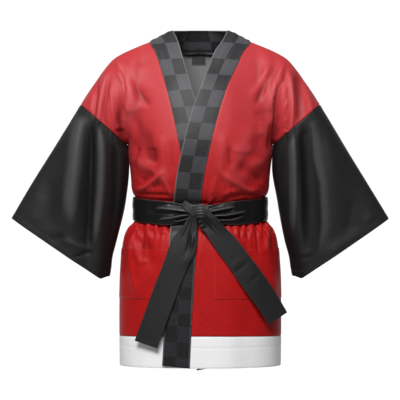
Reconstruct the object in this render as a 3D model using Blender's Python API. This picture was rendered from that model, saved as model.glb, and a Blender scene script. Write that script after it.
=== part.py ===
"""Happi coat, worn-out hollow form: a wrapped cotton jacket tied at the waist.

Everything is in metres, +Z up. The front of the coat faces -Y and the wearer's left is +X. The origin
lies on the shoulder line, midway between the two sides of the neck, where the wearer's shoulders carry
the coat. Every cloth piece is a thin wall lofted through sections of the coat: two skins, one for the
front and one for the back, are worked out first, and each piece is a region of a skin given its own
thickness. The coat fastens left front over right front and a sash holds it.
"""

import math

import bpy
import numpy as np

# Cloth and seams
WALL = 0.0020
BAND_WALL = 0.0030
BAND_PROUD = 0.0005
SASH_WALL = 0.0026
SEAM_GAP = 0.0003
ARMHOLE_GAP = 0.0005
LAP = 0.0060  # how far the upper front stands off the under front

# Heights, measured from the shoulder line at the neck
HEM_Z = -0.758
CONTRAST_Z = -0.689  # where the white hem band joins the red cloth
ARMPIT_Z = -0.236
SASH_LOW_Z = -0.4175
SASH_HIGH_Z = -0.3630
WAIST_Z = -0.3900
WAIST_DIP = 0.0130  # how far the waist hangs lower in front
DIP_STARTS, DIP_FULL = -0.500, -0.430  # the heights over which the dip comes in, going up
DIP_EASES, DIP_ENDS = -0.340, -0.270
CONTRAST_RISE = 0.0050  # how far the hem band's seam lifts in front
RISE_ENDS = -0.600

SECTION_POWER = 2.35  # squareness of the body's sections

# Body sections below the arms: height, half width, depth in front, depth behind
BODY_SECTIONS = (
    (HEM_Z, 0.1900, 0.1290, 0.1330),
    (-0.640, 0.1910, 0.1290, 0.1350),
    (-0.560, 0.1895, 0.1275, 0.1350),
    (-0.500, 0.1860, 0.1240, 0.1310),
    (-0.460, 0.1800, 0.1190, 0.1230),
    (-0.436, 0.1700, 0.1125, 0.1120),
    (-0.424, 0.1575, 0.1035, 0.1025),
    (SASH_LOW_Z, 0.1535, 0.1010, 0.1000),
    (WAIST_Z, 0.1520, 0.1000, 0.0985),
    (SASH_HIGH_Z, 0.1535, 0.1015, 0.1000),
    (-0.354, 0.1590, 0.1090, 0.1060),
    (-0.336, 0.1640, 0.1190, 0.1130),
    (-0.305, 0.1615, 0.1240, 0.1160),
    (-0.268, 0.1630, 0.1275, 0.1175),
)

# Sections over the shoulders: share of the way up the armhole, depth and height on the centre line,
# front then back, and how deep the crease between chest and arm is
SHOULDER_SECTIONS = (
    (0.00, 0.1280, -0.236, 0.1175, -0.236, 0.000),
    (0.25, 0.1160, -0.172, 0.1145, -0.165, 0.009),
    (0.50, 0.0910, -0.100, 0.1050, -0.085, 0.010),
    (0.66, 0.0670, -0.055, 0.0900, -0.0165, 0.008),
    (0.85, 0.0290, 0.010, 0.0450, 0.030, 0.004),
    (1.00, 0.0000, 0.045, 0.0000, 0.045, 0.000),
)
NECK_POINT_UP = 0.66  # the share at which the back's centre line reaches the neck seam

# The shoulder line's fall: share of the way from the centre to the sleeve seam, share of the fall
SHOULDER_FALL = (
    (0.000, 0.000),
    (0.234, 0.085),
    (0.418, 0.216),
    (0.511, 0.272),
    (0.631, 0.350),
    (0.723, 0.430),
    (0.807, 0.570),
    (0.878, 0.722),
    (0.945, 0.868),
    (1.000, 1.000),
)

# Armhole, seen from the front as a straight line from armpit to shoulder
ARMPIT = np.array((0.1710, 0.0, -0.2410))
SHOULDER_TIP = np.array((0.2820, 0.0, -0.1450))
ARM_DEPTH = 0.0680
ARM_FROM_X, ARM_FULL_X = 0.100, 0.168  # where the arm's own depth comes in over the shoulder
TORSO_HALF, TORSO_WIDENS = 0.170, 0.008  # the chest's half width at the armpit, and its gain going up
CREASE_X, CREASE_WIDTH = 0.1740, 0.0130

# Neck
NECK_HALF, NECK_BACK = 0.1180, 0.0900  # the neck seam in plan
COLLAR_TOP_HALF, COLLAR_TOP_BACK = 0.0640, 0.0620
COLLAR_TOP_SIDE_Z, COLLAR_TOP_BACK_Z = 0.0280, 0.0340

# Front band, seen from the front: height, X of its seam edge, X of its free edge
UPPER_BAND = (
    (0.030, 0.1180, 0.0640),
    (0.002, 0.1180, 0.0500),
    (-0.022, 0.1010, 0.0335),
    (-0.050, 0.0885, 0.0230),
    (-0.110, 0.0605, 0.0010),
    (-0.160, 0.0440, -0.0170),
    (-0.203, 0.0325, -0.0290),
    (-0.250, 0.0215, -0.0405),
    (-0.305, 0.0100, -0.0520),
    (-0.370, 0.0010, -0.0610),
    (-0.450, -0.0070, -0.0690),
    (-0.600, -0.0170, -0.0790),
    (-0.770, -0.0250, -0.0870),
)
UNDER_BAND = (
    (0.030, 0.1180, 0.0640),
    (0.002, 0.1180, 0.0520),
    (-0.022, 0.1060, 0.0450),
    (-0.050, 0.0960, 0.0370),
    (-0.108, 0.0790, 0.0210),
    (-0.160, 0.0655, 0.0050),
    (-0.203, 0.0560, -0.0045),
    (-0.264, 0.0440, -0.0170),
    (-0.330, 0.0320, -0.0290),
    (-0.400, 0.0220, -0.0390),
    (-0.600, 0.0130, -0.0480),
    (-0.770, 0.0080, -0.0530),
)
BAND_END_RISE = 0.0060  # the band's end is cut a little higher at its free edge
LAP_FULL_X, LAP_NONE_X = 0.060, 0.115
LAP_NONE_Z, LAP_FULL_Z = -0.060, -0.112

# Gathers under and over the sash: height, wave height
GATHERS = (
    (-0.482, 0.0000),
    (-0.460, 0.0022),
    (-0.440, 0.0030),
    (-0.427, 0.0018),
    (SASH_LOW_Z, 0.0006),
    (SASH_HIGH_Z, 0.0006),
    (-0.352, 0.0014),
    (-0.325, 0.0000),
)

# Large soft folds of the fronts and back. X and Z of both ends, seen from the front on the wearer's
# left, half width, height outwards
FOLD_COLUMNS = ("x0", "z0", "x1", "z1", "width", "height")
LEFT_FRONT_FOLDS = (
    (0.205, -0.070, 0.140, -0.250, 0.014, 0.0040),
    (0.165, -0.250, 0.085, -0.330, 0.016, 0.0050),
    (0.120, -0.190, 0.060, -0.340, 0.018, 0.0035),
    (0.150, -0.470, 0.165, -0.590, 0.013, 0.0045),
    (0.105, -0.470, 0.120, -0.540, 0.012, -0.0030),
)
RIGHT_FRONT_FOLDS = (
    (0.195, -0.080, 0.150, -0.240, 0.014, 0.0045),
    (0.160, -0.270, 0.070, -0.325, 0.015, 0.0055),
    (0.130, -0.200, 0.095, -0.320, 0.018, -0.0035),
    (0.158, -0.460, 0.140, -0.600, 0.013, 0.0055),
    (0.125, -0.455, 0.112, -0.530, 0.012, -0.0035),
)
BACK_FOLDS = (
    (0.150, -0.210, 0.075, -0.320, 0.018, 0.0045),
    (0.120, -0.120, 0.085, -0.330, 0.022, -0.0030),
    (0.020, -0.270, 0.060, -0.345, 0.016, 0.0040),
    (0.110, -0.460, 0.130, -0.620, 0.017, 0.0045),
    (0.045, -0.460, 0.040, -0.600, 0.017, -0.0035),
)

# Sleeves, seen from the front: share of the way down, the outer line, the underarm line, half depth
LEFT_SLEEVE = (
    (0.00, 0.2820, -0.1450, 0.1710, -0.2410, 0.0680),
    (0.15, 0.3055, -0.1840, 0.1735, -0.2900, 0.0690),
    (0.40, 0.3460, -0.2520, 0.1810, -0.3700, 0.0680),
    (0.70, 0.3950, -0.3320, 0.1975, -0.4600, 0.0600),
    (1.00, 0.4450, -0.4140, 0.2275, -0.5620, 0.0500),
)
RIGHT_SLEEVE = (
    (0.00, 0.2820, -0.1450, 0.1710, -0.2410, 0.0680),
    (0.15, 0.3055, -0.1840, 0.1720, -0.2900, 0.0690),
    (0.40, 0.3465, -0.2500, 0.1760, -0.3700, 0.0680),
    (0.70, 0.3960, -0.3290, 0.1955, -0.4600, 0.0600),
    (1.00, 0.4455, -0.4130, 0.2240, -0.5630, 0.0500),
)
SLEEVE_CORNER = 0.0160  # how far the cuff's lower corner is turned up
# Hanging folds of a sleeve: X at the top and bottom, half width, height, on the front and behind
SLEEVE_FOLD_COLUMNS = ("x_top", "x_low", "width", "front", "back")
LEFT_SLEEVE_FOLDS = (
    (0.222, 0.240, 0.017, 0.0080, -0.0040),
    (0.256, 0.272, 0.017, -0.0090, 0.0070),
    (0.300, 0.318, 0.022, 0.0060, -0.0060),
    (0.345, 0.376, 0.024, -0.0040, 0.0050),
)
RIGHT_SLEEVE_FOLDS = (
    (0.222, 0.236, 0.017, 0.0080, -0.0050),
    (0.255, 0.268, 0.017, -0.0090, 0.0070),
    (0.292, 0.304, 0.022, 0.0080, -0.0060),
    (0.340, 0.372, 0.024, -0.0040, 0.0050),
)

# Patch pockets, on each front
POCKET_IN_X = 0.0310
POCKET_LOW_Z, POCKET_HIGH_Z = -0.6000, -0.4830
POCKET_WALL = 0.0015
POCKET_SIDE_Q = 0.97  # how near the side seam it reaches
POCKET_LEAST_Q = 0.025  # how near its inner edge a column of the panel may be

# Woven label inside the back of the neck
LABEL_X, LABEL_HALF = -0.004, 0.0170
LABEL_WALL = 0.0008

# Sash: where it lies over the waist, and how it is drawn in to the knot
SASH_OFF = 0.0042
KNOT_X, KNOT_Z = -0.0010, -0.3990
SASH_PINCH_HALF, SASH_PINCH_REACH, SASH_PINCH_FULL = 0.0150, 0.0850, 0.0120
SASH_RIDGE, SASH_FOLDS, SASH_FOLD_REACH = 0.0048, 3.0, 0.1050

# Knot: a ridged bundle that turns over the front of the sash
KNOT_WIDTH, KNOT_THICK, KNOT_RADIUS = 0.0440, 0.0160, 0.0105
KNOT_TURN = math.radians(200)
KNOT_RIDGES, KNOT_RIDGE = 3, 0.10
KNOT_SIDES, KNOT_RINGS = 20, 11

# Sash ends, seen from the front: X and Z where they leave the knot and where they finish
SASH_WIDTH = 0.0530
LEFT_END = (0.0220, -0.4150, 0.1800, -0.6460)
RIGHT_END = (-0.0250, -0.4150, -0.1255, -0.7040)
END_PINCH, END_PINCH_REACH = 0.55, 0.085
END_BOW, END_FOLD, END_FOLDS = 0.0060, 0.0030, 2.5
SUPPORT_OFF, SUPPORT_EDGE_X = 0.0110, 0.140
SUPPORT_HALF, SUPPORT_DEPTH = 0.190, 0.127  # the least the skirt under a sash end is taken to be

# How finely the walls are divided
GATHER_WAVES_FRONT, GATHER_WAVES_BACK = 15, 14
LEFT_SEED, RIGHT_SEED, BACK_SEED = 0.7, 1.9, 2.6  # how each panel's gathers are uneven
SKIN_ROWS, SKIN_COLUMNS = 401, 161
POCKET_HEIGHTS = (POCKET_LOW_Z, -0.560, -0.520, POCKET_HIGH_Z)
GATHER_HEIGHTS = (-0.464, -0.450, -0.438, -0.4265, SASH_LOW_Z, SASH_HIGH_Z, -0.352)  # rows with every gather
LOW_HEIGHTS = (CONTRAST_Z, *POCKET_HEIGHTS, *GATHER_HEIGHTS, -0.338, -0.318, -0.290, -0.262)
FRONT_HIGH_SHARES = (0.0, 0.13, 0.27, 0.40, 0.53, 0.66, 0.78, 0.89, 1.0)
LABEL_SHARES = (0.603, 0.656)  # the back's rows at the label's foot and top
# The back's upper rows: share up the armhole at the centre line or neck seam, and at the armhole
BACK_HIGH_ROWS = (
    (0.000, 0.000),
    (0.150, 0.130),
    (0.300, 0.260),
    (0.450, 0.370),
    (LABEL_SHARES[0], 0.470),
    (LABEL_SHARES[1], 0.550),
    (NECK_POINT_UP, 0.620),
    (0.670, 0.680),
    (0.690, 0.735),
    (0.725, 0.790),
    (0.775, 0.845),
    (0.840, 0.900),
    (0.920, 0.950),
    (1.000, 1.000),
)
SLEEVE_RINGS, SLEEVE_SIDES = 13, 36
BAND_COLUMNS = 3
SASH_COLUMNS, SASH_ROWS = 33, 9
END_COLUMNS, END_ROWS = 7, 15

COLOURS = {
    "red_cotton": ((0.60, 0.030, 0.032), 0.75),
    "black_cotton": ((0.018, 0.018, 0.019), 0.70),
    "white_cotton": ((0.80, 0.80, 0.80), 0.78),
    "check_cotton": ((0.040, 0.040, 0.048), 0.68),
    "label_weave": ((0.012, 0.012, 0.013), 0.60),
}


def column(table, index):
    """One column of a table, as an array."""
    return np.array([row[index] for row in table], float)


def between(x, table, index):
    """Straight interpolation of a table's column over its first column, whichever way that runs."""
    keys, values = column(table, 0), column(table, index)
    order = np.argsort(keys)
    return np.interp(x, keys[order], values[order])


def smooth_step(x, start, end):
    """0 before start, 1 after end, with no corner. Start may be the larger."""
    t = np.clip((np.asarray(x, float) - start) / (end - start), 0, 1)
    return t * t * (3 - 2 * t)


def smooth_table(x, table, index):
    """A curve through a table's column without overshoot: a cubic with limited slopes."""
    keys, values = column(table, 0), column(table, index)
    order = np.argsort(keys)
    keys, values = keys[order], values[order]
    steps = np.diff(keys)
    slopes = np.diff(values) / steps
    ends = np.zeros(len(keys))
    for i in range(1, len(keys) - 1):
        if slopes[i - 1] * slopes[i] > 0:
            w1, w2 = 2 * steps[i] + steps[i - 1], steps[i] + 2 * steps[i - 1]
            ends[i] = (w1 + w2) / (w1 / slopes[i - 1] + w2 / slopes[i])
    ends[0], ends[-1] = slopes[0], slopes[-1]
    x = np.clip(x, keys[0], keys[-1])
    i = np.clip(np.searchsorted(keys, x, side="right") - 1, 0, len(keys) - 2)
    t = (x - keys[i]) / steps[i]
    return (
        values[i] * (2 * t**3 - 3 * t**2 + 1)
        + values[i + 1] * (3 * t**2 - 2 * t**3)
        + ends[i] * steps[i] * (t**3 - 2 * t**2 + t)
        + ends[i + 1] * steps[i] * (t**3 - t**2)
    )


def unit(vectors):
    """Vectors scaled to length 1, along the last axis."""
    length = np.linalg.norm(vectors, axis=-1, keepdims=True)
    return vectors / np.maximum(length, 1e-12)


def even(line, count):
    """A line resampled to a number of points an even distance apart."""
    along = np.concatenate([[0], np.cumsum(np.linalg.norm(np.diff(line, axis=0), axis=1))])
    share = np.linspace(0, along[-1], count)
    return np.stack([np.interp(share, along, line[:, k]) for k in range(3)], axis=1)


ACROSS_ARMHOLE = unit(SHOULDER_TIP - ARMPIT)
ARM_AXIS = np.array((ACROSS_ARMHOLE[2], 0.0, -ACROSS_ARMHOLE[0]))


def body_row(height, facing):
    """One section of the body below the arms, from the centre line to the side. facing is -1 for the
    front and 1 for the back."""
    half = smooth_table(height, BODY_SECTIONS, 1)
    deep = smooth_table(height, BODY_SECTIONS, 2 if facing < 0 else 3)
    turn = np.linspace(0, math.pi / 2, 4 * SKIN_COLUMNS)
    x = half * np.sin(turn) ** (2 / SECTION_POWER)
    y = facing * deep * np.cos(turn).clip(0) ** (2 / SECTION_POWER)
    row = even(np.stack([x, y, np.full_like(x, height)], axis=1), SKIN_COLUMNS)
    if facing < 0:
        share = np.linspace(0, 1, SKIN_COLUMNS)
        near_waist = smooth_step(height, DIP_STARTS, DIP_FULL) * smooth_step(height, DIP_ENDS, DIP_EASES)
        near_seam = smooth_step(height, HEM_Z, CONTRAST_Z) * smooth_step(height, RISE_ENDS, CONTRAST_Z)
        row[:, 2] += (CONTRAST_RISE * near_seam - WAIST_DIP * near_waist) * (1 - share**2) ** 1.5
    return row


def shoulder_row(up, facing):
    """One row over the shoulder, from the centre line to the armhole. up is 0 at the armpit's height and
    1 on the shoulder line."""
    deep = smooth_table(up, SHOULDER_SECTIONS, 1 if facing < 0 else 3)
    centre_z = smooth_table(up, SHOULDER_SECTIONS, 2 if facing < 0 else 4)
    crease = between(up, SHOULDER_SECTIONS, 5)
    end = ARMPIT + (SHOULDER_TIP - ARMPIT) * (1 - math.cos(math.pi * up)) / 2
    torso_half = TORSO_HALF + TORSO_WIDENS * up
    x = end[0] * np.sin(np.linspace(0, math.pi / 2, 4 * SKIN_COLUMNS))
    inside = np.clip(1 - (x / torso_half) ** SECTION_POWER, 0, 1)
    torso = deep * inside ** (1 / SECTION_POWER)
    arm = ARM_DEPTH * math.sin(math.pi * up) * smooth_step(x, ARM_FROM_X, ARM_FULL_X)
    depth = (torso**4 + arm**4) ** 0.25
    dent = crease * np.exp(-(((x - CREASE_X) / CREASE_WIDTH) ** 2))
    depth -= dent * smooth_step(x, end[0], end[0] - CREASE_WIDTH)
    z = centre_z + (end[2] - centre_z) * smooth_table(x / end[0], SHOULDER_FALL, 1)
    return even(np.stack([x, facing * depth, z], axis=1), SKIN_COLUMNS)


class Skin:
    """The front or back of the coat as one smooth surface. Its places are (v, q): v is 0 at the hem, 1 at
    the armpit and 2 on the shoulder line, and q is 0 on the centre line and 1 or -1 at the sides."""

    def __init__(self, facing):
        self.facing = facing
        self.v = np.linspace(0, 2, SKIN_ROWS)
        rows = []
        for v in self.v:
            if v < 1:
                rows.append(body_row(HEM_Z + (ARMPIT_Z - HEM_Z) * v, facing))
            else:
                rows.append(shoulder_row(v - 1, facing))
        grid = np.array(rows)
        grid = self.soften(grid)
        self.points = grid
        self.normals = self.facing_out(grid)

    def soften(self, grid):
        """The rows near the armpit blended, so that body and shoulder meet without a step."""
        near = (self.v > 0.9) & (self.v < 1.12)
        for _ in range(30):
            mean = (grid[:-2] + 2 * grid[1:-1] + grid[2:]) / 4
            inner = near[1:-1]
            grid[1:-1][inner, :-1] = mean[inner, :-1]
        return grid

    def facing_out(self, grid):
        """Outward normals, shared by both sides of each seam so that the pieces' edges stay parallel."""
        along = np.gradient(grid, axis=0)
        across = np.gradient(grid, axis=1)
        normals = unit(np.cross(along, across) * self.facing)
        ridge = normals[-1]
        ridge[:, 1] = 0
        normals[-1] = unit(ridge)
        normals[:, 0, 0] = 0
        normals[:, 0] = unit(normals[:, 0])
        for i, v in enumerate(self.v):
            if v <= 1:
                normals[i, -1] = (1, 0, 0)
                continue
            turn = math.pi * (v - 1)
            ring = loop_normal(turn, self.facing)
            own = smooth_step(turn, math.radians(70), math.radians(15))
            normals[i, -1] = unit(own * normals[i, -1] + (1 - own) * ring)
        return normals

    def at(self, v, q):
        """(points, normals) at arrays of places."""
        v, q = np.broadcast_arrays(np.asarray(v, float), np.asarray(q, float))
        row = np.clip(v / 2 * (SKIN_ROWS - 1), 0, SKIN_ROWS - 1.000001)
        col = np.clip(np.abs(q) * (SKIN_COLUMNS - 1), 0, SKIN_COLUMNS - 1.000001)
        i, j = row.astype(int), col.astype(int)
        a, b = (row - i)[..., None], (col - j)[..., None]
        found = []
        for grid in (self.points, self.normals):
            value = (
                grid[i, j] * (1 - a) * (1 - b)
                + grid[i + 1, j] * a * (1 - b)
                + grid[i, j + 1] * (1 - a) * b
                + grid[i + 1, j + 1] * a * b
            )
            value[..., 0] *= np.where(q < 0, -1, 1)
            found.append(value)
        return found[0], unit(found[1])

    def crossing(self, v, wanted):
        """The q, seeking from the far side of the centre outwards, where wanted(points) turns positive."""
        q = np.linspace(-0.9, 1, 1901)
        points, _ = self.at(v, q)
        value = wanted(points)
        k = int(np.argmax(value > 0))
        if k == 0:
            return float(q[0])
        return float(q[k - 1] + (q[k] - q[k - 1]) * value[k - 1] / (value[k - 1] - value[k]))


def loop_normal(turn, facing):
    """The armhole's outward direction in its own plane, at an angle from the armpit."""
    half = np.linalg.norm(SHOULDER_TIP - ARMPIT) / 2
    flat = -math.cos(turn) / half * ACROSS_ARMHOLE
    return unit(flat + np.array((0, facing * math.sin(turn) / ARM_DEPTH, 0)))


def height_to_v(height):
    """The skin's v at a height below the arms."""
    return (height - HEM_Z) / (ARMPIT_Z - HEM_Z)


FRONT, BACK = Skin(-1), Skin(1)


def fold_push(points, folds, side):
    """How far large folds push a piece's points outwards."""
    push = np.zeros(points.shape[:-1])
    x, z = side * points[..., 0], points[..., 2]
    for row in folds:
        f = dict(zip(FOLD_COLUMNS, row))
        run = np.array((f["x1"] - f["x0"], f["z1"] - f["z0"]))
        length = float(np.hypot(*run))
        along = ((x - f["x0"]) * run[0] + (z - f["z0"]) * run[1]) / length**2
        off = ((x - f["x0"]) * run[1] - (z - f["z0"]) * run[0]) / length
        ends = smooth_step(along, -0.15, 0.25) * smooth_step(along, 1.15, 0.75)
        push += f["height"] * ends * np.exp(-((off / f["width"]) ** 2))
    return push


def lap_push(points):
    """How far the upper front is lifted over the under front."""
    lifted = LAP * smooth_step(points[..., 0], LAP_NONE_X, LAP_FULL_X)
    return lifted * smooth_step(points[..., 2], LAP_NONE_Z, LAP_FULL_Z)


def gather_push(points, waves):
    """Small waves where the sash draws the cloth in. waves is -1 to 1 for each point."""
    return waves * smooth_table(points[..., 2], GATHERS, 1)


def wave_columns(count, seed):
    """Shares across a panel with a ridge and a trough for each gather, unevenly spaced, and their waves."""
    k = np.arange(2 * count + 1)
    uneven = 0.28 * np.sin(1.7 * k + seed) * np.sin(0.6 * k + 2 * seed)
    uneven[[0, -1]] = 0
    shares = (k + uneven) / (2 * count)
    tall = 0.75 + 0.25 * np.sin(2.3 * k + 3 * seed)
    waves = np.where(k % 2 == 1, 1.0, -1.0) * tall
    waves[[0, -1]] = 0
    return shares, waves


def grid_faces(rows, fine, columns, wrap=False):
    """Faces of a grid of points whose coarse rows use every second column. fine says which rows are fine."""
    faces = []
    last = columns if wrap else columns - 1
    for i in range(rows - 1):
        for j in range(0, last, 2):
            a, b, c = j, j + 1, (j + 2) % columns
            low = [(i, a), (i, b), (i, c)] if fine[i] else [(i, a), (i, c)]
            high = [(i + 1, a), (i + 1, b), (i + 1, c)] if fine[i + 1] else [(i + 1, a), (i + 1, c)]
            if fine[i] and fine[i + 1]:
                faces.append([low[0], low[1], high[1], high[0]])
                faces.append([low[1], low[2], high[2], high[1]])
            else:
                faces.append(low + high[::-1])
    return [[i * columns + j for i, j in face] for face in faces]


def plain_faces(rows, columns, wrap=False):
    """Faces of a grid of points with every row fine."""
    faces = []
    for i in range(rows - 1):
        for j in range(columns if wrap else columns - 1):
            k = (j + 1) % columns
            faces.append([i * columns + j, i * columns + k, (i + 1) * columns + k, (i + 1) * columns + j])
    return faces


def weld(points, inner, faces, within=1e-5):
    """Points at the same place made one, and points that no face uses left out."""
    keys = np.round(points / within).astype(np.int64)
    used = np.unique(np.concatenate([np.array(f) for f in faces]))
    _, first, index = np.unique(keys[used], axis=0, return_index=True, return_inverse=True)
    place = np.full(len(points), -1)
    place[used] = index.reshape(-1)
    kept = used[first]
    faces = [[int(place[k]) for k in face] for face in faces]
    faces = [[k for n, k in enumerate(face) if k != face[n - 1]] for face in faces]
    return points[kept], inner[kept], [face for face in faces if len(face) > 2]


def material(name):
    """The cloth's material, made once."""
    found = bpy.data.materials.get(name)
    if found:
        return found
    colour, roughness = COLOURS[name]
    found = bpy.data.materials.new(name)
    found.use_nodes = True
    shader = found.node_tree.nodes["Principled BSDF"]
    shader.inputs["Base Color"].default_value = (*colour, 1)
    shader.inputs["Roughness"].default_value = roughness
    shader.inputs["Metallic"].default_value = 0.0
    found.diffuse_color = (*colour, 1)
    return found


def add_object(name, points, faces, cloth, facets=math.radians(50)):
    """A mesh object with its material, shaded smooth but for sharp edges."""
    mesh = bpy.data.meshes.new(name)
    mesh.from_pydata([tuple(p) for p in points], [], faces)
    mesh.validate()
    mesh.materials.append(material(cloth))
    mesh.shade_smooth()
    mesh.set_sharp_from_angle(angle=facets)
    made = bpy.data.objects.new(name, mesh)
    bpy.context.scene.collection.objects.link(made)
    return made


def add_wall(name, outer, inner, faces, cloth):
    """A closed wall between two sheets of points that share their faces, with a rim round each edge."""
    outer, inner, faces = weld(outer.reshape(-1, 3), inner.reshape(-1, 3), faces)
    count = len(outer)
    edges = {}
    for face in faces:
        for a, b in zip(face, face[1:] + face[:1]):
            edges[(a, b)] = edges.get((a, b), 0) + 1
    rim = [[b, a, a + count, b + count] for a, b in edges if (b, a) not in edges]
    back = [[k + count for k in face] for face in flipped(faces)]
    return add_object(name, np.concatenate([outer, inner]), faces + back + rim, cloth)


def flipped(faces):
    """The same faces turned round, split along the same diagonals."""
    return [face[:1] + face[:0:-1] for face in faces]


class Front:
    """One front of the coat: side is 1 for the wearer's left, which laps over the other."""

    def __init__(self, side):
        self.side = side
        self.upper = side > 0
        self.label = "left" if self.upper else "right"
        self.table = UPPER_BAND if self.upper else UNDER_BAND
        self.folds = LEFT_FRONT_FOLDS if self.upper else RIGHT_FRONT_FOLDS
        self.shares, self.waves = wave_columns(GATHER_WAVES_FRONT, LEFT_SEED if self.upper else RIGHT_SEED)

    def sample(self, v, q, waves=0.0):
        """(points, normals) of this front's outside at skin places on its own side."""
        points, normals = FRONT.at(v, self.side * q)
        push = fold_push(points, self.folds, self.side) + gather_push(points, waves)
        if self.upper:
            push = push + lap_push(points)
        return points + normals * push[..., None], normals

    def seam_q(self, v, gap=0.0):
        """The skin's q at the band's seam, on this front's own side."""
        return FRONT.crossing(v, lambda p: p[..., 0] - between(p[..., 2], self.table, 1) - gap)

    def free_q(self, v):
        """The skin's q at the band's free edge."""
        return FRONT.crossing(v, lambda p: p[..., 0] - between(p[..., 2], self.table, 2))

    def rows(self, v_values, thickness=WALL):
        """Outer and inner points of the panel on rows of the skin, from band seam to side seam."""
        outer, inner = [], []
        for v in v_values:
            start = self.seam_q(v, SEAM_GAP / 2)
            q = start + (1 - start) * self.shares
            points, normals = self.sample(v, q, self.waves)
            if v <= 1 or v == 2:
                points[-1, 1] = -SEAM_GAP / 2
            if v == 2:
                points[:, 1] = -SEAM_GAP / 2
            outer.append(points)
            inner.append(points - normals * thickness)
        return np.array(outer), np.array(inner)

    def panel(self):
        """The red front, from the hem band up to the shoulder seam."""
        v_values, fine = panel_rows(FRONT_HIGH_SHARES)
        outer, inner = self.rows(v_values)
        faces = grid_faces(len(v_values), fine, len(self.shares))
        if not self.upper:
            faces = flipped(faces)
        return add_wall(f"front_{self.label}", outer, inner, faces, "red_cotton")

    def hem_band(self):
        """The white band along this front's hem."""
        v_values = [0.0, height_to_v(CONTRAST_Z) / 2, height_to_v(CONTRAST_Z - SEAM_GAP)]
        outer, inner = self.rows(v_values)
        faces = grid_faces(len(v_values), [False] * 3, len(self.shares))
        if not self.upper:
            faces = flipped(faces)
        return add_wall(f"hem_band_{self.label}", outer, inner, faces, "white_cotton")

    def pocket(self):
        """A patch pocket: the panel's own points, moved out."""
        outer, inner = [], []
        for z in POCKET_HEIGHTS:
            v = height_to_v(z)
            start = self.seam_q(v, SEAM_GAP / 2)
            own_q = start + (1 - start) * self.shares[::2]
            points, normals = self.sample(v, own_q)
            first = FRONT.crossing(v, lambda p: p[..., 0] - POCKET_IN_X)
            kept = own_q[(own_q > first + POCKET_LEAST_Q) & (own_q < POCKET_SIDE_Q)]
            q = np.concatenate([[first], kept, [POCKET_SIDE_Q]])
            outer.append(self.on_polyline(q, own_q, points, normals, SEAM_GAP + POCKET_WALL))
            inner.append(self.on_polyline(q, own_q, points, normals, SEAM_GAP))
        faces = plain_faces(len(outer), len(outer[0]))
        if not self.upper:
            faces = flipped(faces)
        return add_wall(f"pocket_{self.label}", np.array(outer), np.array(inner), faces, "red_cotton")

    @staticmethod
    def on_polyline(q, own_q, points, normals, lift):
        """Places on a row of flat faces, moved out along its normals."""
        lifted = points + unit(normals) * lift
        return np.stack([np.interp(q, own_q, lifted[:, k]) for k in range(3)], axis=1)


def panel_rows(high_shares):
    """The skin's rows that a red panel uses, and which of them carry every gather."""
    low = [height_to_v(z) for z in LOW_HEIGHTS]
    high = [1 + share for share in high_shares]
    fine = [z in GATHER_HEIGHTS for z in LOW_HEIGHTS] + [False] * len(high)
    return low + high, fine


def neck_test(points, gap):
    """Positive outside the neck seam, in plan."""
    x, y = points[..., 0] / (NECK_HALF + gap), points[..., 1] / (NECK_BACK + gap)
    return x**2 + y**2 - 1


def neck_q(v, gap):
    """The back skin's q where a row starts: the centre line, or the neck seam above the neck point."""
    if v <= 1 + NECK_POINT_UP:
        return 0.0
    q = np.linspace(0, 1, 2001)
    points, _ = BACK.at(v, q)
    value = neck_test(points, gap)
    k = int(np.argmax(value > 0))
    return float(q[k]) if k == 0 else float(
        q[k - 1] + (q[k] - q[k - 1]) * value[k - 1] / (value[k - 1] - value[k])
    )


def fanned(v, shares):
    """A back row's v from its start to the armhole, where the rows spread out evenly."""
    if v <= 1:
        return np.full(len(shares), v)
    at_armhole = 1 + np.interp(v - 1, column(BACK_HIGH_ROWS, 0), column(BACK_HIGH_ROWS, 1))
    return v + (at_armhole - v) * smooth_step(shares, 0.05, 0.80)


def back_half(v_values, side, shares, waves):
    """Outer and inner points of half the back."""
    outer, inner = [], []
    for v in v_values:
        start = neck_q(v, SEAM_GAP / 2)
        q = start + (1 - start) * shares
        points, normals = BACK.at(fanned(v, shares), side * q)
        push = fold_push(points, BACK_FOLDS, side) + gather_push(points, waves)
        points = points + normals * push[:, None]
        if v <= 1:
            points[-1, 1] = SEAM_GAP / 2
        if v == 2:
            points[:, 1] = SEAM_GAP / 2
        if start == 0.0:
            points[0, 0] = 0.0
            normals[0, 0] = 0.0
        outer.append(points)
        inner.append(points - normals * WALL)
    return np.array(outer), np.array(inner)


def back_piece(name, v_values, fine, cloth):
    """Both halves of the back over some rows, joined on the centre line."""
    shares, waves = wave_columns(GATHER_WAVES_BACK, BACK_SEED)
    waves[0] = 1.0
    outers, inners, faces = [], [], []
    for side in (1, -1):
        outer, inner = back_half(v_values, side, shares, waves)
        found = grid_faces(len(v_values), fine, len(shares))
        if side > 0:
            found = flipped(found)
        shift = len(outers) * outer.shape[0] * outer.shape[1]
        faces += [[k + shift for k in face] for face in found]
        outers.append(outer.reshape(-1, 3))
        inners.append(inner.reshape(-1, 3))
    return add_wall(name, np.concatenate(outers), np.concatenate(inners), faces, cloth)


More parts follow.
